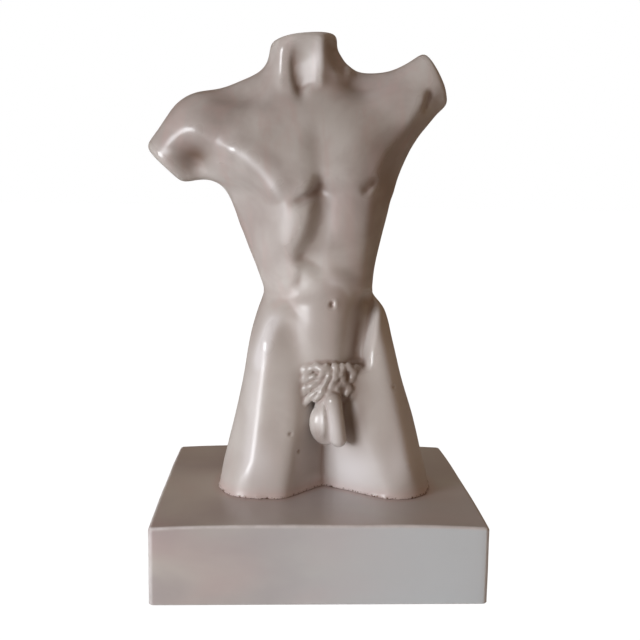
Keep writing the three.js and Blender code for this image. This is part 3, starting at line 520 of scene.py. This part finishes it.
def sample_near(form, low, counts, step, coarse):
    """The form's values on a grid: exact near its surface, and read off a coarser grid elsewhere."""
    wide = [low[k] + step * coarse * np.arange(math.ceil(counts[k] / coarse) + 2) for k in range(3)]
    grid = np.stack(np.meshgrid(*wide, indexing="ij"), -1)
    values = form(grid.reshape(-1, 3)).reshape(grid.shape[:3])
    for k in range(3):
        at = np.arange(counts[k]) / coarse
        first = np.minimum(at.astype(int), len(wide[k]) - 2)
        share = (at - first).reshape([-1 if axis == k else 1 for axis in range(3)])
        values = np.take(values, first, k) * (1 - share) + np.take(values, first + 1, k) * share
    reach = 1.1 * coarse * step
    near = np.argwhere(np.abs(values) < reach)
    exact = np.empty(len(near))
    for part in np.array_split(np.arange(len(near)), max(1, len(near) // POINTS_AT_ONCE)):
        exact[part] = form(near[part] * step + low)
    values[tuple(near.T)] = exact
    return values


def net(values, low, step):
    """Points and four-sided faces of the net round the negative values."""
    inside = values < 0
    shape = np.array(values.shape)
    corners = np.zeros(shape - 1, int)
    for dx in (0, 1):
        for dy in (0, 1):
            for dz in (0, 1):
                corners += inside[dx:shape[0] - 1 + dx, dy:shape[1] - 1 + dy, dz:shape[2] - 1 + dz]
    active = (corners > 0) & (corners < 8)
    number = np.full(active.shape, -1)
    number[active] = np.arange(active.sum())
    cells = np.argwhere(active)
    total = np.zeros(cells.shape)
    count = np.zeros(len(cells))
    faces = []
    for axis in range(3):
        others = [k for k in range(3) if k != axis]
        for a in (0, 1):
            for b in (0, 1):
                start = cells.copy()
                start[:, others[0]] += a
                start[:, others[1]] += b
                end = start.copy()
                end[:, axis] += 1
                from_value, to_value = values[tuple(start.T)], values[tuple(end.T)]
                crosses = (from_value < 0) != (to_value < 0)
                place = start.astype(float)
                place[:, axis] += from_value / np.where(crosses, from_value - to_value, 1)
                total[crosses] += place[crosses]
                count += crosses
        before = np.take(inside, range(shape[axis] - 1), axis)
        after = np.take(inside, range(1, shape[axis]), axis)
        edges = np.argwhere(before != after)
        held = np.ones(len(edges), bool)
        for k in others:
            held &= (edges[:, k] > 0) & (edges[:, k] < shape[k] - 1)
        edges = edges[held]
        ring = []
        for a, b in ((1, 1), (0, 1), (0, 0), (1, 0)):
            cell = edges.copy()
            cell[:, others[0]] -= a
            cell[:, others[1]] -= b
            ring.append(number[tuple(cell.T)])
        quads = np.stack(ring, 1)
        outward = before[tuple(edges.T)] != (axis == 1)
        quads[~outward] = quads[~outward][:, ::-1]
        faces.append(quads)
    return total / count[:, None] * step + low, np.vstack(faces)


def settle(form, points, rounds, most):
    """Moves each point along the form's slope until it lies on the form, at most so far in a round."""
    probe = 0.05 * most
    flattest = 0.2  # keeps a point from leaping where the form hardly slopes
    for _ in range(rounds):
        value = form(points)
        slope = np.stack([form(points + probe * axis) - value for axis in np.eye(3)], 1) / probe
        travel = value / np.maximum((slope ** 2).sum(1), flattest)
        points = points - np.clip(travel, -most, most)[:, None] * slope
    return points


def skin(form, low, high, step, coarse):
    """Points and four-sided faces on the form's surface, inside the box from low to high."""
    counts = [math.ceil((high[k] - low[k]) / step) + 1 for k in range(3)]
    values = sample_near(form, np.array(low, float), counts, step, coarse)
    points, faces = net(values, np.array(low, float), step)
    return settle(form, points, 2, step / 2), faces


def face_normals(points, faces):
    a, b, c, d = (points[faces[:, k]] for k in range(4))
    return np.cross(c - a, d - b)


def point_normals(points, faces):
    normals = np.zeros_like(points)
    weights = face_normals(points, faces)
    for k in range(4):
        for axis in range(3):
            normals[:, axis] += np.bincount(faces[:, k], weights[:, axis], len(points))
    return normals / np.maximum(np.linalg.norm(normals, axis=1, keepdims=True), 1e-12)


def smooth_values(values, faces, rounds):
    """Values evened out over neighbouring points, so many rounds."""
    count = len(values)
    degree = np.bincount(faces.ravel(), minlength=count).astype(float)
    for _ in range(rounds):
        face_mean = values[faces].mean(1)
        total = np.zeros_like(values)
        for k in range(4):
            for axis in range(values.shape[1]):
                total[:, axis] += np.bincount(faces[:, k], face_mean[:, axis], count)
        values = total / degree[:, None]
    return values


def relief_height(points, faces, rounds):
    """How far each point stands above its surroundings, or below them where it is negative."""
    normals = point_normals(points, faces)
    return ((points - smooth_values(points, faces, rounds)) * normals).sum(1)


def make_mesh(name, points, faces, layers):
    """A smooth shaded object, with each layer as a colour attribute."""
    mesh = bpy.data.meshes.new(name)
    mesh.vertices.add(len(points))
    mesh.vertices.foreach_set("co", points.astype(np.float32).ravel())
    mesh.loops.add(faces.size)
    mesh.loops.foreach_set("vertex_index", faces.astype(np.int32).ravel())
    mesh.polygons.add(len(faces))
    mesh.polygons.foreach_set("loop_start", np.arange(0, faces.size, 4, dtype=np.int32))
    mesh.update()
    mesh.validate()
    mesh.shade_smooth()
    for layer, rgb in layers.items():
        attribute = mesh.color_attributes.new(layer, "FLOAT_COLOR", "POINT")
        rgba = np.ones((len(points), 4), np.float32)
        rgba[:, :3] = rgb
        attribute.data.foreach_set("color", rgba.ravel())
    piece = bpy.data.objects.new(name, mesh)
    bpy.context.scene.collection.objects.link(piece)
    return piece


# Materials are built from nodes with these small helpers.

class Nodes:
    """Adds and links the nodes of one material."""

    def __init__(self, name):
        self.material = bpy.data.materials.new(name)
        self.material.use_nodes = True
        self.tree = self.material.node_tree
        self.tree.nodes.clear()

    def add(self, kind, settings=None, **inputs):
        node = self.tree.nodes.new(kind)
        for key, value in (settings or {}).items():
            setattr(node, key, value)
        for key, value in inputs.items():
            self.put(node, int(key[1:]) if key[0] == "i" and key[1:].isdigit() else key, value)
        return node

    def put(self, node, key, value):
        socket = node.inputs[key]
        if isinstance(value, bpy.types.NodeSocket):
            self.tree.links.new(value, socket)
        else:
            socket.default_value = value

    def noise(self, vector, scale, detail=2.0, roughness=0.5, distortion=0.0):
        node = self.add("ShaderNodeTexNoise", Vector=vector, Scale=scale, Detail=detail)
        self.put(node, "Roughness", roughness)
        self.put(node, "Distortion", distortion)
        return node.outputs["Fac"]

    def stretch(self, vector, scale):
        node = self.add("ShaderNodeMapping", Vector=vector)
        node.inputs["Scale"].default_value = scale
        return node.outputs["Vector"]

    def band(self, value, low, high, to_low=0.0, to_high=1.0):
        """value, taken from low..high to to_low..to_high, smoothly and with its ends held."""
        node = self.add("ShaderNodeMapRange", {"interpolation_type": "SMOOTHSTEP"}, Value=value)
        node.inputs["From Min"].default_value = low
        node.inputs["From Max"].default_value = high
        node.inputs["To Min"].default_value = to_low
        node.inputs["To Max"].default_value = to_high
        return node.outputs["Result"]

    def math(self, operation, a, b):
        return self.add("ShaderNodeMath", {"operation": operation}, i0=a, i1=b).outputs[0]

    def mix(self, share, a, b, blend="MIX"):
        node = self.add("ShaderNodeMix", {"data_type": "RGBA", "blend_type": blend})
        self.put(node, "Factor", share)
        self.put(node, 6, a)
        self.put(node, 7, b)
        return node.outputs[2]

    def bump(self, height, strength, distance, normal=None):
        node = self.add("ShaderNodeBump", Height=height, Strength=strength, Distance=distance)
        if normal is not None:
            self.put(node, "Normal", normal)
        return node.outputs["Normal"]


def srgb(red, green, blue):
    """A linear colour from the 0 to 255 numbers that a picture shows."""
    channels = []
    for value in (red, green, blue):
        v = value / 255
        channels.append(v / 12.92 if v <= 0.04045 else ((v + 0.055) / 1.055) ** 2.4)
    return (*channels, 1.0)


GLAZE_MIDDLE = srgb(188, 176, 172)
# Also the colour of the painted light low on the figure, besides thin glaze.
GLAZE_THIN_AND_LIGHT = srgb(224, 219, 215)
GLAZE_POOLED = srgb(160, 134, 124)
GLAZE_PINK = srgb(214, 186, 182)
# Also the colour of the torso's painted highlights, besides the plinth's worn edges.
GLAZE_WHITE_AND_HIGHLIGHT = srgb(244, 241, 242)
# Also the colour of the torso's painted shade, besides the bare clay of specks and pinholes.
CLAY_BROWN_AND_SHADE = srgb(104, 72, 46)
PLINTH_MIDDLE = srgb(196, 188, 188)
PLINTH_THIN = srgb(216, 212, 206)
PLINTH_PINK = srgb(206, 184, 184)
PLINTH_PAINTED_LIGHT = srgb(224, 232, 238)
GLAZE_IOR = 1.5
GLAZE_COAT = 0.15
GLAZE_COAT_ROUGHNESS = 0.22


def glaze_shader(n, colour, roughness, normal):
    shader = n.add("ShaderNodeBsdfPrincipled")
    n.put(shader, "Base Color", colour)
    n.put(shader, "Roughness", roughness)
    n.put(shader, "Normal", normal)
    shader.inputs["IOR"].default_value = GLAZE_IOR
    shader.inputs["Coat Weight"].default_value = GLAZE_COAT
    shader.inputs["Coat Roughness"].default_value = GLAZE_COAT_ROUGHNESS
    output = n.add("ShaderNodeOutputMaterial")
    n.tree.links.new(shader.outputs["BSDF"], output.inputs["Surface"])
    return n.material


def torso_glaze():
    n = Nodes("torso_glaze")
    place = n.add("ShaderNodeTexCoord").outputs["Object"]
    relief = n.add("ShaderNodeSeparateColor", Color=n.add(
        "ShaderNodeVertexColor", {"layer_name": "relief"}).outputs["Color"])
    fine, broad, height = relief.outputs[0], relief.outputs[1], relief.outputs[2]

    clouds = n.noise(place, 14, 4, 0.55, 0.4)
    runs = n.noise(n.stretch(place, (60, 60, 9)), 1.0, 3, 0.6, 0.6)
    colour = n.mix(n.band(clouds, 0.35, 0.68), GLAZE_MIDDLE, GLAZE_THIN_AND_LIGHT)
    colour = n.mix(n.math("MULTIPLY", n.band(runs, 0.42, 0.72), 0.35), colour, GLAZE_PINK)
    # Painted light: the glaze paler towards the foot, where the low light falls strongest.
    painted_light_low_down = n.band(height, 0.62, 0.3)
    colour = n.mix(n.math("MULTIPLY", painted_light_low_down, 0.55), colour, GLAZE_THIN_AND_LIGHT)
    thin = n.math("MAXIMUM", n.band(fine, 0.5, 1.1), n.band(broad, 0.5, 0.95, 0, 0.7))
    colour = n.mix(n.math("MULTIPLY", thin, 0.5), colour, GLAZE_THIN_AND_LIGHT)
    pooled = n.math("MAXIMUM", n.band(fine, 0.5, -0.1), n.band(broad, 0.5, 0.0, 0, 0.8))
    colour = n.mix(n.math("MULTIPLY", pooled, 0.5), colour, GLAZE_POOLED)
    at_foot = n.band(height, 0.035, 0.0)
    colour = n.mix(n.math("MULTIPLY", at_foot, 0.5), colour, GLAZE_PINK)
    # Painted shade: the figure darker towards its top, where less light reaches.
    shade = n.band(height, 0.35, 0.8, 1.0, 0.86)
    grey = n.add("ShaderNodeCombineColor", Red=shade, Green=shade, Blue=shade).outputs[0]
    colour = n.mix(1.0, colour, grey, "MULTIPLY")
    # The painted highlights and painted shade of the front, and the bare clay specks at the foot.
    light_and_speck_paint = n.add("ShaderNodeSeparateColor", Color=n.add(
        "ShaderNodeVertexColor", {"layer_name": "light_and_speck_paint"}).outputs["Color"])
    painted_highlight, painted_shade, specks = light_and_speck_paint.outputs[0], light_and_speck_paint.outputs[1], light_and_speck_paint.outputs[2]
    colour = n.mix(painted_highlight, colour, GLAZE_WHITE_AND_HIGHLIGHT)
    colour = n.mix(painted_shade, colour, CLAY_BROWN_AND_SHADE)
    grains = n.band(n.noise(place, 420, 2, 0.6), 0.52, 0.62)
    colour = n.mix(n.math("MULTIPLY", grains, specks), colour, CLAY_BROWN_AND_SHADE)
    gloss = n.band(fine, 0.54, 0.84, 0.4, 0.2)
    roughness = n.math("ADD", gloss, n.band(clouds, 0.3, 0.7, -0.03, 0.04))
    brushed = n.noise(n.stretch(place, (260, 260, 40)), 1.0, 2, 0.5, 0.3)
    skin_normal = n.bump(brushed, 0.1, 0.0003, n.bump(clouds, 0.15, 0.0006))
    return glaze_shader(n, colour, roughness, skin_normal)


def plinth_glaze():
    n = Nodes("plinth_glaze")
    place = n.add("ShaderNodeTexCoord").outputs["Object"]
    relief = n.add("ShaderNodeSeparateColor", Color=n.add(
        "ShaderNodeVertexColor", {"layer_name": "relief"}).outputs["Color"])
    edge, pit, from_foot = relief.outputs[0], relief.outputs[1], relief.outputs[2]
    clouds = n.noise(n.stretch(place, (9, 9, 22)), 1.0, 3, 0.5, 0.3)
    patches = n.noise(n.stretch(place, (7, 7, 12)), 1.3, 2, 0.5, 0.5)
    colour = n.mix(n.band(clouds, 0.35, 0.68), PLINTH_MIDDLE, PLINTH_THIN)
    colour = n.mix(n.math("MULTIPLY", n.band(patches, 0.42, 0.7), 0.7), colour, PLINTH_PINK)
    # Painted light: the plinth's walls paler towards its right, less so on its top, to even out the
    # light that falls off across its front.
    across = n.add("ShaderNodeSeparateXYZ", Vector=place).outputs[0]
    facing = n.add("ShaderNodeSeparateXYZ", Vector=n.add("ShaderNodeNewGeometry").outputs["Normal"])
    on_wall = n.band(facing.outputs[2], 0.3, 0.8, 1.0, 0.4)
    colour = n.mix(n.math("MULTIPLY", n.band(across, -0.11, 0.11), on_wall), colour, PLINTH_PAINTED_LIGHT)
    halo = n.band(from_foot, 0.75, 0.5)
    colour = n.mix(n.math("MULTIPLY", halo, 0.4), colour, GLAZE_PINK)
    worn = n.band(n.noise(place, 90, 3, 0.6), 0.35, 0.65, 0.6, 0.95)
    colour = n.mix(n.math("MULTIPLY", edge, worn), colour, GLAZE_WHITE_AND_HIGHLIGHT)
    colour = n.mix(n.math("MULTIPLY", pit, 0.9), colour, CLAY_BROWN_AND_SHADE)
    return glaze_shader(n, colour, n.band(clouds, 0.3, 0.7, 0.3, 0.38), n.bump(patches, 0.15, 0.0008))


# Pieces

# Where the edge of the chest catches the light, seen from the front, along which a highlight is painted
CHEST_LINE = [(-77.5, 277), (-64, 269.5), (-54.5, 263), (-45.5, 255), (-35.5, 241.5), (-27.5, 230)]


def painted_light_and_specks(points):
    """Painted highlights where the light catches the front, painted shade and shadow where it falls
    dark, and where bare clay specks show in the joint.
    """
    x, y, z = points.T
    # Painted highlights: the glaze made paler where the light catches the inside of the right leg, the
    # stump, the thigh ridges, the chest edge, the hip, the belly's rim, the neck cord, the thighs and
    # the groin.
    painted_highlight = (
        swelling(x, z, 29, 20, 19, 18, 0.95)
        + swelling(x, z, -121, 270, 3.5, 3, 0.9)
        + crease(x, z, LEFT_RIDGE, 5, 6, 0.6, 0.15)
        + crease(x, z, RIGHT_RIDGE, 7, 4, 0.5, 0.2)
        + crease(x, z, CHEST_LINE, 2.5, 2.5, 0.6, 0.3)
        + crease(x, z, [(-30, 147), (-37, 136), (-42, 122), (-45.5, 113), (-48.5, 96)], 4.5, 5, 0.9, 0.2)
        + crease(x, z, [(2, 172), (10, 170.5), (18, 167.5), (23.5, 160.5), (26, 150)], 3, 3, 0.6, 0.3)
        + swelling(x, z, -3, 343, 3.4, 12, 0.9)
        + swelling(x, z, -44, 30, 9, 16, 0.6)
        + swelling(x, z, 64, 29, 9, 16, 0.5)
        + swelling(x, z, 10, 58, 11, 17, 0.5)
    )
    # Painted shade and shadow: brown where the shadow beside the groin falls, beside the neck and in its
    # groove, below the chest, in the stump's hollow, in the hair, down the sternum and belly, along the
    # right flank and in the valley between the thighs.
    painted_shade = (
        swelling(x, z, 30, 61, 8, 19, 0.75)
        + crease(x, z, [(3, 362), (5.5, 345), (9, 330)], 4, 4, 0.3)
        + swelling(x, z, 0, 240, 5, 8, 0.35)
        + swelling(x, z, -99, 268, 12, 8, 0.25)
        + swelling(x, z, 11, 91, 24, 15, 0.45)
        + swelling(x, z, 28, 92, 9, 15, 0.3)
        + swelling(x, z, -3, 272, 10, 22, 0.22)
        + swelling(x, z, 7.5, 196, 16, 14, 0.3)
        + crease(x, z, [(95, 300), (76, 280), (66, 250), (56, 215), (48, 180), (46, 165)], 8, 10, 0.3)
        + crease(x, z, [(4, 180), (15, 179), (26, 174), (34, 163)], 5, 5, 0.3, 0.3)
        + crease(x, z, [(36, 162), (32, 146), (30, 130), (30, 112), (33, 92)], 7, 5, 0.5)
        + crease(x, z, [(3, 60), (0, 34), (0, 6)], 5, 12, 0.4, 0.2)
        + crease(x, z, [(-20, 357), (-20.6, 329), (-16, 316)], 6, 3, 0.4, 0.2)
        + swelling(x, z, -97, 267, 12, 8, 0.5, -15)
    )
    front = smooth_step(-8, -18, y)
    specks = smooth_step(2.6, 0.8, z)
    paint_layers = np.stack([painted_highlight * front, painted_shade * front, specks], 1)
    return np.clip(paint_layers, 0, 1)


def add_torso():
    points, faces = skin(seated_figure, SKIN_LOW, SKIN_HIGH, TORSO_STEP, TORSO_COARSE)
    fine = relief_height(points, faces, FINE_ROUNDS)
    broad = relief_height(points, faces, BROAD_ROUNDS)
    layers = {"relief": np.stack([
        0.5 + fine / FINE_RANGE,
        0.5 + broad / BROAD_RANGE,
        points[:, 2] / PARTS_IN_HEIGHT,
    ], 1)}
    layers["light_and_speck_paint"] = painted_light_and_specks(points)
    points = points * PART + np.array([0, 0, PLINTH_TOP])
    points = np.clip(points, np.array(CAD_BOX[0]), np.array(CAD_BOX[1]))
    piece = make_mesh("torso_skin", points, faces, layers)
    piece.data.materials.append(torso_glaze())
    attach(piece, "root")
    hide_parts("torso")


def grid_lines(low, high, marks):
    """Places from low to high, closer together at both ends and round each mark."""
    near_end = np.array([0.6, 1.2, 1.8, 2.4, 3, 4])
    near_mark = np.array([-1.4, -0.9, -0.5, 0, 0.5, 0.9, 1.4])
    steps = round((high - low) / PLINTH_STEP)
    groups = [mark + near_mark for mark in marks] + [low + near_end, high - near_end]
    lines = np.unique(np.concatenate([np.linspace(low, high, steps + 1)[1:-1], *groups]))
    lines = lines[(lines > low + NARROWEST_GAP) & (lines < high - NARROWEST_GAP)]
    lines = lines[np.concatenate([[True], np.diff(lines) > NARROWEST_GAP])]
    return np.concatenate([[low], lines, [high]])


def box_skin(lines):
    """Points and four-sided faces of a box, with grid lines at the given places along each axis."""
    points, faces, count = [], [], 0
    for axis in range(3):
        across, along = (axis + 1) % 3, (axis + 2) % 3
        u, v = np.meshgrid(lines[across], lines[along], indexing="ij")
        for end in (0, -1):
            sheet = np.empty((*u.shape, 3))
            sheet[..., axis], sheet[..., across], sheet[..., along] = lines[axis][end], u, v
            number = count + np.arange(u.size).reshape(u.shape)
            ring = [number[:-1, :-1], number[1:, :-1], number[1:, 1:], number[:-1, 1:]]
            quads = np.stack(ring, -1).reshape(-1, 4)
            faces.append(quads if end == -1 else quads[:, ::-1])
            points.append(sheet.reshape(-1, 3))
            count += u.size
    points, inverse = np.unique(np.vstack(points).round(4), axis=0, return_inverse=True)
    return points, inverse.ravel()[np.vstack(faces)]


def round_box(points, half_x, half_y, height):
    """The box's points moved onto round edges and corners, and how much of an edge each is on."""
    x, y, z = points.T
    upper = z > height / 2
    radius = np.where(upper, PLINTH_TOP_RADIUS, PLINTH_FOOT_RADIUS)
    inset = np.minimum(half_x - np.abs(x), half_y - np.abs(y))
    depth = np.where(upper, height - z, z)
    turn = math.pi / 4 * (1 + np.clip(inset / radius, 0, 1) - np.clip(depth / radius, 0, 1))
    new_inset = np.where(inset < radius, radius * (1 - np.cos(turn)), inset)
    new_depth = np.where(depth < radius, radius * (1 - np.sin(turn)), depth)
    old_inset = np.minimum(inset, radius)
    x = x * np.where(inset < radius, (half_x - new_inset) / (half_x - old_inset), 1)
    y = y * np.where(inset < radius, (half_y - new_inset) / (half_y - old_inset), 1)
    corner = np.maximum(PLINTH_CORNER_RADIUS - new_inset, 0)
    core_x, core_y = half_x - new_inset - corner, half_y - new_inset - corner
    middle_x, middle_y = np.clip(x, -core_x, core_x), np.clip(y, -core_y, core_y)
    out_x, out_y = x - middle_x, y - middle_y
    length = np.maximum(np.hypot(out_x, out_y), 1e-9)
    x = np.where(corner > 0, middle_x + corner * out_x / length, x)
    y = np.where(corner > 0, middle_y + corner * out_y / length, y)
    z = np.where(upper, height - new_depth, new_depth)
    edge = np.exp(-((turn - math.pi / 4) / EDGE_WEAR_SPREAD) ** 2) * (np.minimum(inset, depth) < radius)
    upright = 4 * np.abs(out_x * out_y) / length ** 2 * (inset < 1e-6)
    return np.stack([x, y, z], 1), np.maximum(edge, CORNER_WEAR * upright)


def droop(x, y, half_x, half_y):
    """How far the plinth's top has sunk at a place, by its distance from the nearest corner."""
    away = np.hypot(half_x - np.abs(x), half_y - np.abs(y))
    return PLINTH_DROOP * np.maximum(1 - away / PLINTH_DROOP_REACH, 0) ** 2


def add_plinth():
    half_x, half_y, height = PLINTH_HIGH.x / MM, PLINTH_HIGH.y / MM, PLINTH_HIGH.z / MM
    lines = [
        grid_lines(-half_x, half_x, [x for x, _ in PINHOLES]),
        grid_lines(-half_y, half_y, []),
        grid_lines(0, height, [z for _, z in PINHOLES]),
    ]
    flat, faces = box_skin(lines)
    points, edge = round_box(flat, half_x, half_y, height)
    x, y, z = points.T
    wall = np.clip((z - PLINTH_FOOT_RADIUS) / (height - PLINTH_TOP_RADIUS - PLINTH_FOOT_RADIUS), 0, 1)
    points[:, 2] -= wall * droop(x, y, half_x, half_y)
    from_foot = figure(np.stack([x, y, np.full(len(x), 2.0)], 1) * MM / PART)
    wave = 0.5 + 0.5 * np.sin(0.071 * x + 0.05 * z + 1) * np.sin(0.083 * y + 0.09 * z + 2)
    off_seat = np.where(z > height - 1, smooth_step(2, 14, from_foot), 1)
    sink = PLINTH_WAVE * wave * off_seat * smooth_step(0.5, 3, z)
    points -= sink[:, None] * point_normals(points, faces)
    pit = np.zeros(len(x))
    front = flat[:, 1] == -half_y
    for pin_x, pin_z in PINHOLES:
        away = np.hypot(flat[front, 0] - pin_x, flat[front, 2] - pin_z)
        pit[front] = np.maximum(pit[front], smooth_step(PINHOLE_RADIUS, 0.2, away))
    points[:, 1] += PINHOLE_DEPTH * pit
    near_foot = np.where(z > height - 1, np.clip(from_foot / 20, -1, 1), 1)
    layers = {"relief": np.stack([edge, pit, 0.5 + 0.5 * near_foot], 1)}
    points *= MM
    points = np.clip(points, np.array(PLINTH_LOW), np.array(PLINTH_HIGH))
    piece = make_mesh("plinth_skin", points, faces, layers)
    piece.data.materials.append(plinth_glaze())
    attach(piece, "root")
    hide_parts("plinth")


FLOOR_REACH = 30.0  # metres from the middle to each side
FLOOR_GLOW = 1.12  # lifts the floor to the white of the background
FLOOR_GLOW_SHARE = 0.92


def add_floor():
    mesh = bpy.data.meshes.new("floor")
    corners = [(x * FLOOR_REACH, y * FLOOR_REACH, 0) for x, y in ((-1, -1), (1, -1), (1, 1), (-1, 1))]
    mesh.from_pydata(corners, [], [(0, 1, 2, 3)])
    floor = bpy.data.objects.new("floor", mesh)
    bpy.context.scene.collection.objects.link(floor)
    n = Nodes("floor")
    shader = n.add("ShaderNodeBsdfPrincipled")
    n.put(shader, "Base Color", (0.8, 0.79, 0.78, 1))
    n.put(shader, "Roughness", 0.8)
    glow = n.add("ShaderNodeEmission", Color=(1, 1, 1, 1), Strength=FLOOR_GLOW)
    path = n.add("ShaderNodeLightPath")
    share = n.math("MULTIPLY", path.outputs["Is Camera Ray"], FLOOR_GLOW_SHARE)
    mix = n.add("ShaderNodeMixShader", i0=share)
    n.tree.links.new(shader.outputs["BSDF"], mix.inputs[1])
    n.tree.links.new(glow.outputs["Emission"], mix.inputs[2])
    output = n.add("ShaderNodeOutputMaterial")
    n.tree.links.new(mix.outputs["Shader"], output.inputs["Surface"])
    mesh.materials.append(n.material)


LIGHT_AIM = (0, 0, 0.24)
COOL = (0.93, 0.96, 1.0)
WARM = (1.0, 0.9, 0.8)
ROOM_COLOUR = (0.5, 0.29, 0.14, 1)
ROOM_STRENGTH = 0.27


def add_area_light(name, place, size, power, colour, mirrored=True):
    """A rectangular light aimed at the figure, which the glaze mirrors or not."""
    data = bpy.data.lights.new(name, "AREA")
    data.shape = "RECTANGLE"
    data.size, data.size_y = size
    data.energy = power
    data.color = colour
    light = bpy.data.objects.new(name, data)
    light.location = place
    light.visible_glossy = mirrored
    light.rotation_euler = (Vector(LIGHT_AIM) - Vector(place)).to_track_quat("-Z", "Y").to_euler()
    bpy.context.scene.collection.objects.link(light)


def add_lights():
    add_area_light("window", (-1.25, -1.0, 0.12), (0.7, 0.8), 25, COOL)
    add_area_light("room", (0.3, -1.6, 0.05), (1.4, 0.5), 1.8, WARM)
    add_area_light("ceiling", (0, 0.3, 1.7), (1.6, 1.6), 3.4, COOL)
    add_area_light("back", (-0.4, 2.0, 0.5), (1.6, 1.2), 3.5, COOL, mirrored=False)
    world = bpy.data.worlds.new("room")
    world.use_nodes = True
    tree = world.node_tree
    back = tree.nodes["Background"]
    back.inputs["Color"].default_value = ROOM_COLOUR
    back.inputs["Strength"].default_value = ROOM_STRENGTH
    shown = tree.nodes.new("ShaderNodeBackground")
    shown.inputs["Color"].default_value = (1, 1, 1, 1)
    shown.inputs["Strength"].default_value = 1.0
    path = tree.nodes.new("ShaderNodeLightPath")
    mix = tree.nodes.new("ShaderNodeMixShader")
    tree.links.new(path.outputs["Is Camera Ray"], mix.inputs[0])
    tree.links.new(back.outputs[0], mix.inputs[1])
    tree.links.new(shown.outputs[0], mix.inputs[2])
    tree.links.new(mix.outputs[0], tree.nodes["World Output"].inputs["Surface"])
    bpy.context.scene.world = world
    bpy.context.scene.view_settings.view_transform = "Standard"


# The camera, fitted to the plinth's corners in the photograph
CAMERA_PLACE = Vector((-30.4, -743.2, 296.3)) * MM
CAMERA_PITCH = math.radians(7.61)  # down
CAMERA_YAW = math.radians(2.52)  # to the right
CAMERA_ROLL = math.radians(0.85)
FOCAL_PIXELS = 908
IMAGE_PIXELS = 640
SENSOR = 36


def add_camera():
    data = bpy.data.cameras.new("camera")
    data.sensor_width = SENSOR
    data.lens = FOCAL_PIXELS / IMAGE_PIXELS * SENSOR
    data.clip_start = 0.05
    data.clip_end = 200
    camera = bpy.data.objects.new("camera", data)
    bpy.context.scene.collection.objects.link(camera)
    forward = Vector((
        math.sin(CAMERA_YAW) * math.cos(CAMERA_PITCH),
        math.cos(CAMERA_YAW) * math.cos(CAMERA_PITCH),
        -math.sin(CAMERA_PITCH),
    ))
    level = Vector((math.cos(CAMERA_YAW), -math.sin(CAMERA_YAW), 0))
    upright = level.cross(forward)
    right = level * math.cos(CAMERA_ROLL) + upright * math.sin(CAMERA_ROLL)
    up = upright * math.cos(CAMERA_ROLL) - level * math.sin(CAMERA_ROLL)
    turn = Matrix((right, up, -forward)).transposed().to_4x4()
    camera.matrix_world = Matrix.Translation(CAMERA_PLACE) @ turn
    bpy.context.scene.camera = camera


add_camera()
add_lights()
add_floor()
add_torso()
add_plinth()
